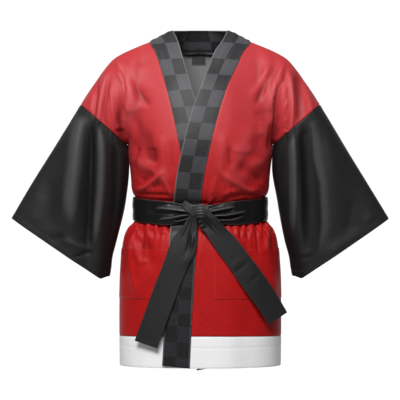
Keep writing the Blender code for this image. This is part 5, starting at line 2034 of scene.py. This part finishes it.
@dataclass
class BackHalf:
    """The back of the coat: red panel in one piece, white hem and the label inside."""

    gathers: Gathers
    # The upper rows: share up the armhole at the centre line or neck seam, and at the armhole
    fan: Table
    panel_flat: Tuple[float, float]

    def half(self, v_values: Array, side: Side, high_seam: float, low_seam: float) -> Sheet:
        """Half of the back's cloth.

        Args:
            v_values: The rows.
            side: Which half.
            high_seam: How far the seam at its top is felt.
            low_seam: The same at its foot.

        Returns:
            The sheet, from the centre line or neck seam to the side.
        """
        shares = np.concatenate([[0.0], spaced(0.008, 0.982, step=LOOSE / PANEL_WIDE), [0.99, 0.996, 1.0]])
        start = np.array([neck_q(float(v), SEAM_GAP / 2) for v in v_values])[:, None]
        q = start + (1 - start) * shares
        v = np.broadcast_to(v_values[:, None], q.shape)
        at_armhole = 1 + np.interp(v - 1, column(self.fan, 0), column(self.fan, 1))
        v = np.where(v > 1, v + (at_armhole - v) * smooth_step(shares, 0.05, 0.8), v)
        points, normals = BACK.at(v, side.value * q)
        more = smooth_step(q, 0, 0.12) * crease_push(points, BACK_CREASES[side], side.value)
        push = fold_push(points, BACK_FOLDS, side.value) + more
        push = push * free_of_seams(v, q) + self.gathers.push(points, np.broadcast_to(shares, push.shape))
        points = points + normals * push[..., None]
        sheet = Sheet(points, normals)
        seam = near_edges(sheet, right=0.0035, low=low_seam, high=high_seam)
        neck = near_edges(sheet, left=0.004) * (start > 0)
        points -= normals * (SEAM_PULL * np.maximum(seam, neck) ** 2)[..., None]
        points[v_values <= 1, -1, 1] = SEAM_GAP / 2
        if v_values[-1] == 2:
            points[-1, :, 1] = SEAM_GAP / 2
        points[start[:, 0] == 0, 0, 0] = 0.0
        # painted shade along the seams and the neck seam, and in the hollows
        edge = near_edges(sheet, right=0.0012, low=low_seam / 3, high=high_seam / 3)
        neck = near_edges(sheet, left=0.0014) * (start > 0)
        sheet.tucked = np.maximum(np.maximum(edge, neck), 0.36 * hollows(sheet, 0.002, 9))
        return sheet

    def build(self) -> None:
        """Makes the back's red panel, its hem and the label."""
        neck_point = 1.0 + NECK_POINT_UP
        over, top = spaced(1.0, neck_point, step=0.0145), spaced(neck_point, TOP_V, step=0.008)
        v_values = panel_rows(0.0044, LOOSE, LOOSE, over, top)
        halves = [self.half(v_values, side, 0.004, 0.004) for side in Side]
        piece = sew("back", halves, CLOTH, RED, LINING)
        width, length = self.panel_flat
        0.8 * width * length
        halves = [self.half(hem_rows(), side, 0.004, 0.0) for side in Side]
        for sheet in halves:
            sheet.worn = near_edges(sheet, low=0.002)
        halves = [tuck(sheet, Edge.LAST_ROW, 0.0014) for sheet in halves]
        piece = sew("hem_band_back", halves, HEM_CLOTH, WHITE)
        lines = []
        for side in Side:
            shares = np.linspace(0.975, 0.0, 100)
            v = np.full(len(shares), height_to_v(CONTRAST_Z - HEM_STITCH_DROP))
            points, normals = BACK.at(v, side.value * shares)
            push = fold_push(points, BACK_FOLDS, side.value) + STITCH_LIFT
            lines.append(points + normals * push[:, None])
        line = np.concatenate([lines[0], lines[1][::-1][1:]])
        thread_row("hem_band_back_stitches", line, WHITE_THREAD)
        self.label()

    def label(self) -> Any:
        """A plain woven label on the inside of the back, with folded ends."""
        x = LABEL_X + LABEL_HALF * np.linspace(-1, 1, 25)
        heights = np.linspace(LABEL_LOW_Z, LABEL_HIGH_Z, 20)
        shares, q = np.linspace(0.55, NECK_POINT_UP, 60), np.linspace(-0.2, 0.2, 161)
        around = []
        for share in shares:
            places, faced = BACK.at(1 + share, q)
            around.append([np.interp(x, places[:, 0], one) for one in (*places.T, *faced.T)])
        around = np.moveaxis(np.array(around), 2, 0)
        cloth = np.array([[np.interp(heights, one[:, 2], one[:, k]) for k in range(6)] for one in around])
        cloth = np.moveaxis(cloth, (0, 1, 2), (1, 2, 0))
        points, normals = cloth[..., :3], -unit(cloth[..., 3:])
        points = points + normals * (CLOTH + SEAM_GAP + LABEL_CLOTH)
        sheet = Sheet(points, normals)
        fold = near_edges(sheet, left=0.0025, right=0.0025)
        sheet.points = points + normals * (0.0003 * (1 - fold))[..., None]
        sheet.worn = near_edges(sheet, left=0.0012, right=0.0012, low=0.0012, high=0.0012)
        piece = sew("neck_label", [sheet], LABEL_CLOTH, LABEL)
        edge = sheet.points[1:-1, [1, -2]] + sheet.normals[1:-1, [1, -2]] * 0.0002
        for k, word in enumerate(("right", "left")):
            thread_row(f"neck_label_{word}_stitches", edge[:, k], GREY_THREAD, pitch=0.0024)
        return piece


@dataclass
class Sleeve:
    """A wide sleeve: cloth from the armhole to the open cuff, with its turned cuff."""

    side: Side
    outline: Table
    folds: Table
    flat: Tuple[float, float]
    sides: int = 190

    def armhole(self, turns: Array) -> Tuple[Array, Array]:
        """The armhole's ring.

        Args:
            turns: Angles round it from the armpit, up the front and down the back.

        Returns:
            Its points and the outward directions in its plane.
        """
        in_front = turns <= math.pi
        up = np.where(in_front, turns, 2 * math.pi - turns)
        v = 1 + up / math.pi
        rings = []
        fronts, backs = FRONT_FOLDS[self.side], (BACK_FOLDS, BACK_CREASES[self.side])
        for skin, (folds, creases) in ((FRONT, fronts), (BACK, backs)):
            points, normals = skin.at(v, self.side.value)
            push = fold_push(points, folds, self.side.value) + crease_push(points, creases, self.side.value)
            rings.append(points + normals * (push * free_of_seams(v, np.ones(len(v))) - 0.0004)[:, None])
        ring = np.where(in_front[:, None], *rings)
        faced = np.array([loop_normal(turn, -1 if near else 1) for turn, near in zip(up, in_front)])
        return ring, faced * (self.side.value, 1, 1)

    def plain_ring(self, share: float, turns: Array) -> Tuple[Array, Array, Array]:
        """A ring of the sleeve without folds.

        Args:
            share: Share of the way down the sleeve.
            turns: Angles round it.

        Returns:
            Points, outward directions, and each angle's sine.
        """
        side = self.side.value
        top = np.array((side * smooth_table(share, self.outline, 1), 0, smooth_table(share, self.outline, 2)))
        low = np.array((side * smooth_table(share, self.outline, 3), 0, smooth_table(share, self.outline, 4)))
        deep = smooth_table(share, self.outline, 5)
        wide, middle = np.linalg.norm(top - low) / 2, (top + low) / 2
        across = unit(top - low)
        c, s = np.cos(turns), np.sin(turns)
        flat = -np.sign(c) * np.abs(c) ** 0.9 * wide
        depth = -np.sign(s) * np.abs(s) ** 0.9 * deep
        ring = middle + flat[:, None] * across + depth[:, None] * np.array((0, 1, 0))
        faced = unit(-c[:, None] / wide * across + (-s / deep)[:, None] * np.array((0, 1.0, 0)))
        return ring, faced, s

    def hanging(self, points: Array, share: float, facing: Array) -> Array:
        """How far the hanging folds push a ring out.

        Args:
            points: The ring's points.
            share: Share of the way down the sleeve.
            facing: -1 for points in front and 1 for those behind.

        Returns:
            Each point's push.
        """
        push = np.zeros(len(points))
        for x_top, x_low, width, front, back in self.folds:
            middle = x_top + (x_low - x_top) * share
            height = np.where(facing < 0, front, back)
            push += height * bell(self.side.value * points[:, 0], middle, width)
        return push * smooth_step(share, 0.0, 0.3) * (1 - 0.45 * smooth_step(share, 0.75, 1.0))

    def sheet(self) -> Sheet:
        """The sleeve's cloth as rings."""
        turns = np.linspace(0, 2 * math.pi, self.sides + 1)
        turns[-1] = 0.0
        axis = ARM_AXIS * (self.side.value, 1, 1)
        shares = np.concatenate([[0.0, 0.004, 0.01], spaced(0.02, 0.975, step=0.0105), [0.985, 0.995, 1.0]])
        seam, seam_faced = self.armhole(turns)
        seam = seam + axis * 0.0005
        first = self.plain_ring(0.0, turns)[0]
        rows, normals, crests = [], [], []
        for share in shares:
            ring, faced, s = self.plain_ring(share, turns)
            own = min(share / SLEEVE_JOIN, 1.0)
            ring = ring + (seam - first) * (1 - own)
            faced = unit(seam_faced * (1 - own) + faced * own)
            facing = np.where(s >= -1e-9, -1.0, 1.0)
            push = self.hanging(ring, share, facing) * np.abs(s) ** 0.7
            other = Side.RIGHT if self.side is Side.LEFT else Side.LEFT
            both = (SLEEVE_CREASES[self.side], SLEEVE_CREASES[other])
            ahead, behind = (crease_push(ring, creases, self.side.value) for creases in both)
            cross = np.where(facing < 0, ahead, behind) * np.abs(s) ** 0.7 * smooth_step(share, 0.0, 0.12)
            pucker = 0.0006 * np.sin(23 * turns + 2 * np.sin(5 * turns)) * smooth_step(share, 0.07, 0.0)
            ring = ring + ((push + cross) * facing)[:, None] * np.array((0, 1.0, 0)) + faced * pucker[:, None]
            corner = SLEEVE_CORNER * smooth_step(share, 0.8, 1.0) * smooth_step(np.cos(turns), 0.88, 1.0)
            rows.append(ring - corner[:, None] * axis)
            normals.append(faced)
            crests.append(cross)
        crest = np.array(crests)
        sheet = Sheet(np.array(rows), np.array(normals))
        seam_near = near_edges(sheet, low=0.004)
        cuff = sheet.to_end
        line = bell(cuff, 0.016, 0.0018) + 0.9 * bell(cuff, 0.0, 0.0022)
        sheet.points -= sheet.normals * (SEAM_PULL * seam_near**2 + 0.0006 * line)[..., None]
        # rubbed cuff edge, and painted highlights on the crests of the creases
        sheet.worn = np.maximum(0.5 * near_edges(sheet, high=0.002), smooth_step(crest, 0.0008, 0.0065))
        # painted shade on the sleeve's underside, which turns towards the body
        inner = 0.75 * smooth_step(np.cos(turns), 0.55, 0.92)
        # painted shade in the troughs and hollows
        shade = np.maximum(smooth_step(crest, -0.0006, -0.0055), 0.7 * hollows(sheet, 0.0018, 14))
        sheet.tucked = np.maximum(near_edges(sheet, low=0.0012), np.maximum(shade, inner))
        return sheet

    def build(self) -> None:
        """Makes the sleeve and the stitching round its cuff."""
        name = f"sleeve_{self.side.word}"
        sheet = self.sheet()
        piece = sew(name, [tuck(sheet, Edge.FIRST_ROW, 0.0016)], SLEEVE_CLOTH, BLACK, LINING)
        row = int(np.argmin(np.abs(sheet.to_end[:, self.sides // 4] - 0.0165)))
        line = sheet.points[row] + sheet.normals[row] * 0.0002
        thread_row(name + "_cuff_stitches", line, BLACK_THREAD)


@dataclass
class Sash:
    """The sash: a strip round the waist, its knot and its two hanging ends."""

    columns: int = 420

    def path(self) -> Tuple[Array, Array]:
        """The sash's line round the waist, closed, and its outward directions."""
        v = height_to_v(WAIST_Z)
        count = self.columns // 2
        q = np.linspace(-1, 1, count)
        front, front_faced = FRONT.at(v, q)
        back, back_faced = BACK.at(v, q[::-1][1:-1])
        lift = LAP * smooth_step(np.abs(front[:, 0]), LAP_NONE_X, LAP_FULL_X + LAP)
        points = np.concatenate([front, back, front[:1]])
        faced = np.concatenate([front_faced, back_faced, front_faced[:1]])
        faced[:, 2] = 0
        lifts = np.concatenate([lift, np.zeros(len(back)), lift[:1]])
        return points + unit(faced) * (SASH_OFF + lifts)[:, None], unit(faced)

    def wrap(self) -> Any:
        """The strip round the waist, drawn into folds beside the knot."""
        path, faced = self.path()
        shares = np.concatenate([[0.0, 0.012], np.linspace(0.03, 0.97, 58), [0.988, 1.0]])
        low, high = SASH_LOW_Z - WAIST_Z, SASH_HIGH_Z - WAIST_Z
        is_front = path[:, 1] < 0
        offset = path[:, 0] - KNOT_X
        away = np.where(is_front, np.abs(offset), 1.0)
        near = smooth_step(away, SASH_PINCH_REACH, SASH_PINCH_FULL)
        rows, crests = [], []
        for share in shares:
            full = low + (high - low) * share
            drawn = (KNOT_Z - 0.003 - WAIST_Z + WAIST_DIP) + SASH_PINCH_HALF * (2 * share - 1)
            points = path.copy()
            points[:, 2] += full + (drawn - full) * near
            crest = np.zeros(len(points))
            for side in Side:
                here = (points[:, 0] * side.value > 0) & is_front
                crest += here * crease_push(points, SASH_CREASES[side], side.value)
            crests.append(crest)
            rise = 0.0028 * near + crest
            long_folds = np.sin(2 * math.pi * (1.7 * share + 0.35 * np.sin(offset * 22)))
            rise += 0.0006 * (1 + long_folds) * np.sin(math.pi * share)
            rise += 0.0008 * (1 - smooth_step(abs(2 * share - 1), 0.9, 1.0))
            rows.append(points + faced * (rise + SASH_CLOTH + 0.0002)[:, None])
        sheet = Sheet(np.array(rows), np.broadcast_to(faced, (len(shares), len(path), 3)).copy())
        # painted highlights on the crests and rubbed edges; painted shade in the hollows
        crest = smooth_step(np.array(crests), 0.001, 0.0045)
        sheet.worn = np.maximum(near_edges(sheet, low=0.0012, high=0.0012), crest)
        sheet.tucked = hollows(sheet, 0.001, 8)
        piece = sew("sash_wrap", [sheet], SASH_CLOTH, SASH_SHADED)
        return piece

    @staticmethod
    def ribbon(stops: Table, crown: float, pleats: float, seed: float) -> Sheet:
        """One pleated turn of the knot, bowed out over the front of the sash.

        Args:
            stops: Share of the way along, X and Z of its middle, width, and how far out it stands.
            crown: How far its edges roll back.
            pleats: How many pleats run along it.
            seed: How its pleats are uneven.

        Returns:
            The turn's sheet.
        """
        along = np.linspace(0, 1, 57)
        side = np.linspace(-1, 1, 45)
        x, z, width, out = (smooth_table(along, stops, k) for k in range(1, 5))
        run = unit(np.stack([np.gradient(x), np.gradient(z)], axis=1))
        shift = side * width[:, None] / 2
        wander = side + 0.05 * np.sin(5 * along[:, None] + seed)
        ripple = np.abs(np.sin(math.pi * (pleats * wander + seed) / 2)) ** 0.8
        fine = np.minimum(1.0, width / 0.02)[:, None]
        rolled = crown * (1 - np.cos(math.pi / 2 * side)) * fine
        stand = out[:, None] - rolled + 0.0019 * fine * (ripple - 0.5)
        points = np.stack([
            x[:, None] - run[:, 1:] * shift, KNOT_Y - stand, z[:, None] + run[:, :1] * shift,
        ], axis=2)
        normals = unit(np.cross(np.gradient(points, axis=1), np.gradient(points, axis=0)))
        sheet = Sheet(points, normals * -np.sign(normals[28, 22, 1]))
        # painted shade in the pleats' hollows
        sheet.tucked = hollows(sheet, 0.0006, 5)
        return sheet

    def knot(self) -> Any:
        """The knot: the strip's pleated turns, one over the other."""
        turns = [self.ribbon(*turn) for turn in KNOT_TURNS]
        piece = sew("sash_knot", turns, KNOT_CLOTH, KNOT_LIT)
        return piece

    @staticmethod
    def support(x: Array, z: Array) -> Array:
        """Where a sash end lies in front of the skirt, running straight on past the hip.

        Args:
            x: Its points' X.
            z: Their heights.

        Returns:
            Their Y.
        """
        sizes = (smooth_table(z, BODY_SECTIONS, index) + SUPPORT_OFF for index in (1, 2))
        half, deep = (
            SUPPORT_EASE * np.logaddexp(size / SUPPORT_EASE, least / SUPPORT_EASE)
            for size, least in zip(sizes, (SUPPORT_HALF, SUPPORT_DEPTH))
        )
        held = np.minimum(np.abs(x), SUPPORT_EDGE_X)
        left = 1 - (held / half) ** SECTION_POWER
        y = -deep * left ** (1 / SECTION_POWER)
        slope = deep / half * (held / half) ** (SECTION_POWER - 1) * left ** (1 / SECTION_POWER - 1)
        return y + slope * (np.abs(x) - held)

    def end(self, side: Side, edges: Table, creases: Table) -> Any:
        """One hanging end: pinched at the knot, flat and square at its foot.

        Args:
            side: The side it hangs to.
            edges: Share of the way down, and X and Z of its two edges.
            creases: Its soft folds: share along, share across, lengths, and height.

        Returns:
            The end.
        """
        across = np.concatenate([[-1.0, -0.98, -0.94], np.linspace(-0.88, 0.88, 33), [0.94, 0.98, 1.0]])
        close, loose = spaced(0.0, 0.2, step=0.005)[:-1], spaced(0.2, 0.985, step=0.0085)
        shares = np.concatenate([close, loose, [0.993, 1.0]])[:, None]
        x0, z0, x1, z1 = (smooth_table(shares, edges, k) for k in range(1, 5))
        blend = (across + 1) / 2
        x, z = x0 + (x1 - x0) * blend, z0 + (z1 - z0) * blend
        full = np.hypot(x1 - x0, z1 - z0) / SASH_WIDTH
        folded = np.clip((1 - full) / 0.6, 0, 1)
        root = smooth_step(shares, 0.22, 0.02)
        y = self.support(x, z) - 0.0026 * folded * (1 + np.cos(4.3 * math.pi * across + 0.6))
        y = y + (KNOT_Y - 0.002 - y) * root * (1 - 0.35 * np.cos(math.pi / 2 * across) * (1 - root))
        y = np.minimum(y, KNOT_Y + 0.001 + END_RELEASE * smooth_step(shares, 0.1, 0.45))
        wave = 0.001 * np.sin(3.1 * math.pi * shares + 1.2 * across + side.value)
        wave = wave * smooth_step(shares, 0.1, 0.3)
        for at, place, long, wide, height in creases:
            near = np.exp(-(((shares - at) / long) ** 2) - ((across - place) / wide) ** 2)
            wave = wave + height * near
        y = y - wave - SASH_CLOTH
        points = np.stack(np.broadcast_arrays(x, y, z), axis=2)
        normals = np.zeros(points.shape)
        normals[..., 1] = -1.0
        sheet = Sheet(points, normals)
        crown = 1 - near_edges(sheet, left=0.002, right=0.002, high=0.002) ** 2
        hem = bell(sheet.to_end, 0.01, 0.0015)
        sheet.points = points + normals * (0.0006 * crown - 0.0005 * hem)[..., None]
        sheet.worn = near_edges(sheet, left=0.0012, right=0.0012, high=0.0012)
        # painted shadow of the knot on the top of the end, fading downwards, full on the wearer's left end
        # and weaker on the right, and painted shade in the hollows
        shadow = smooth_step(shares, 0.3, 0.13) * (0.65 + 0.35 * side.value)
        shadow = np.minimum(shadow + smooth_step(shares, 0.09, 0.06), 1.0)
        sheet.tucked = np.maximum(hollows(sheet, 0.001, 10), np.broadcast_to(shadow, x.shape))
        name = f"sash_end_{side.word}"
        piece = sew(name, [sheet], SASH_CLOTH, TAIL)
        measured = sheet.measured
        lifted = sheet.points + sheet.normals * STITCH_LIFT
        for label, column_at in (("inner", 2), ("outer", -3)):
            keep = measured[:, column_at, 1] > 0.03
            line = lifted[keep, column_at][:-2]
            thread_row(f"{name}_{label}_stitches", line, BLACK_THREAD)
        row = int(np.argmin(np.abs(sheet.to_end[:, 15] - 0.01)))
        thread_row(f"{name}_foot_stitches", lifted[row, 2:-2], BLACK_THREAD)
        return piece

    def build(self) -> None:
        """Makes the strip, the knot and both ends."""
        self.wrap()
        self.knot()
        self.end(Side.LEFT, LEFT_END, (
            (0.045, -0.8, 0.014, 0.22, 0.004),
            (0.085, -0.85, 0.01, 0.2, 0.0036),
            (0.125, -0.75, 0.01, 0.2, 0.0034),
            (0.13, -0.35, 0.06, 0.3, -0.004),
            (0.08, 0.4, 0.06, 0.35, 0.0024),
            (0.46, -0.2, 0.026, 0.7, 0.001),
            (0.5, -0.2, 0.016, 0.8, -0.0016),
            (0.62, 0.3, 0.02, 0.6, -0.0015),
            (0.67, 0.1, 0.04, 0.6, 0.001),
        ))
        self.end(Side.RIGHT, RIGHT_END, (
            (0.2, 0.62, 0.035, 0.14, 0.0046),
            (0.2, 0.36, 0.07, 0.13, -0.0042),
            (0.1, -0.5, 0.06, 0.3, 0.0024),
            (0.33, 0.7, 0.04, 0.3, 0.0022),
            (0.55, 0.2, 0.1, 0.6, 0.0012),
        ))


@dataclass
class Studio:
    """The camera, the soft lights and the pale floor."""

    eye: Tuple[float, float, float] = (-0.0007, -5.0, -0.3705)
    lens: float = 190.7
    floor_z: float = -1.3
    ambient: float = 0.08
    key: float = 290.0
    fill: float = 8.0

    def camera(self) -> None:
        """A level camera straight in front."""
        bpy.ops.object.camera_add(location=self.eye, rotation=(math.pi / 2, 0, 0))
        camera = bpy.context.active_object
        camera.data.lens = self.lens
        camera.data.clip_start, camera.data.clip_end = 0.1, 60
        bpy.context.scene.camera = camera

    def light(self, name: str, place: Row, aim: Row, size: Tuple[float, float], power: float) -> None:
        """A soft box.

        Args:
            name: Its name.
            place: Where it stands.
            aim: What it points at.
            size: Its two sides.
            power: Its watts.
        """
        bpy.ops.object.light_add(type="AREA", location=place)
        lamp = bpy.context.active_object
        lamp.name = name
        lamp.data.shape = "RECTANGLE"
        lamp.data.size, lamp.data.size_y = size
        lamp.data.energy = power
        reach = np.array(aim) - np.array(place)
        flat = math.hypot(reach[0], reach[1])
        lamp.rotation_euler = (math.atan2(flat, -reach[2]), 0, math.atan2(-reach[0], reach[1]))

    def floor(self) -> None:
        """The floor: pale paper, lit from behind where it runs away from the coat."""
        bpy.ops.mesh.primitive_circle_add(
            vertices=96, radius=4.2, fill_type="TRIFAN", location=(0, 0, self.floor_z)
        )
        floor = bpy.context.active_object
        floor.name = floor.data.name = "studio_floor"
        bpy.ops.object.transform_apply(location=True, rotation=False, scale=False)
        floor.data.materials.append(Shop.of(PaperFinish("floor paper", (0.42, 0.42, 0.42))))

    def world(self) -> None:
        """Soft light from all round: dim in front, and white straight behind the coat."""
        world = bpy.data.worlds.new("studio")
        bpy.context.scene.world = world
        world.use_nodes = True
        tree = world.node_tree
        place = tree.nodes.new("ShaderNodeTexCoord")
        split = tree.nodes.new("ShaderNodeSeparateXYZ")
        tree.links.new(place.outputs["Generated"], split.inputs[0])
        bright = self.ambient + (1.05 - self.ambient) * Wire(tree, split.outputs[1]).step(0.62, 0.92)
        tree.nodes["Background"].inputs["Color"].default_value = (1, 1, 1, 1)
        tree.links.new(bright.socket, tree.nodes["Background"].inputs["Strength"])

    def build(self) -> None:
        """Sets up the studio."""
        bpy.context.scene.view_settings.view_transform = "Standard"
        self.camera()
        self.world()
        self.floor()
        self.light("key", (-0.8, -3.3, 3.0), (0, 0, -0.3), (2.6, 1.6), self.key)
        self.light("front", (0.0, -3.4, 1.3), (0, 0, -0.3), (1.5, 1.2), self.fill)


def main() -> None:
    """Builds the studio and the coat, piece by piece."""
    logging.basicConfig(level=logging.INFO, format="%(message)s")
    bpy.ops.object.select_all(action="DESELECT")
    parts: List[Tuple[str, Any]] = [
        ("studio", Studio()),
        ("left front", FrontHalf(
            Side.LEFT, UPPER_BAND, *FRONT_FOLDS[Side.LEFT], Gathers(GATHER_WAVES_FRONT, 0.7),
            (0.33, 0.79), 0.175, (0.077, 0.293), (0.062, 0.98), 0.0,
        )),
        ("right front", FrontHalf(
            Side.RIGHT, UNDER_BAND, *FRONT_FOLDS[Side.RIGHT], Gathers(GATHER_WAVES_FRONT, 1.9),
            (0.3, 0.79), 0.157, (0.077, 0.26), (0.062, 0.98), 0.0045,
        )),
        ("back", BackHalf(Gathers(GATHER_WAVES_BACK, 2.6), (
            (0.0, 0.0), (0.15, 0.13), (0.3, 0.26), (0.45, 0.37), (0.603, 0.47), (0.656, 0.55),
            (0.66, 0.62), (0.67, 0.68), (0.69, 0.735), (0.725, 0.79), (0.775, 0.845), (0.84, 0.9),
            (0.92, 0.95), (1.0, 1.0),
        ), (0.56, 0.8))),
        ("left sleeve", Sleeve(Side.LEFT, LEFT_SLEEVE, LEFT_SLEEVE_FOLDS, (0.62, 0.325))),
        ("right sleeve", Sleeve(Side.RIGHT, RIGHT_SLEEVE, RIGHT_SLEEVE_FOLDS, (0.63, 0.33))),
        ("sash", Sash()),
    ]
    for name, part in parts:
        part.build()
        logging.info("built the %s", name)


if __name__ == "__main__":
    main()
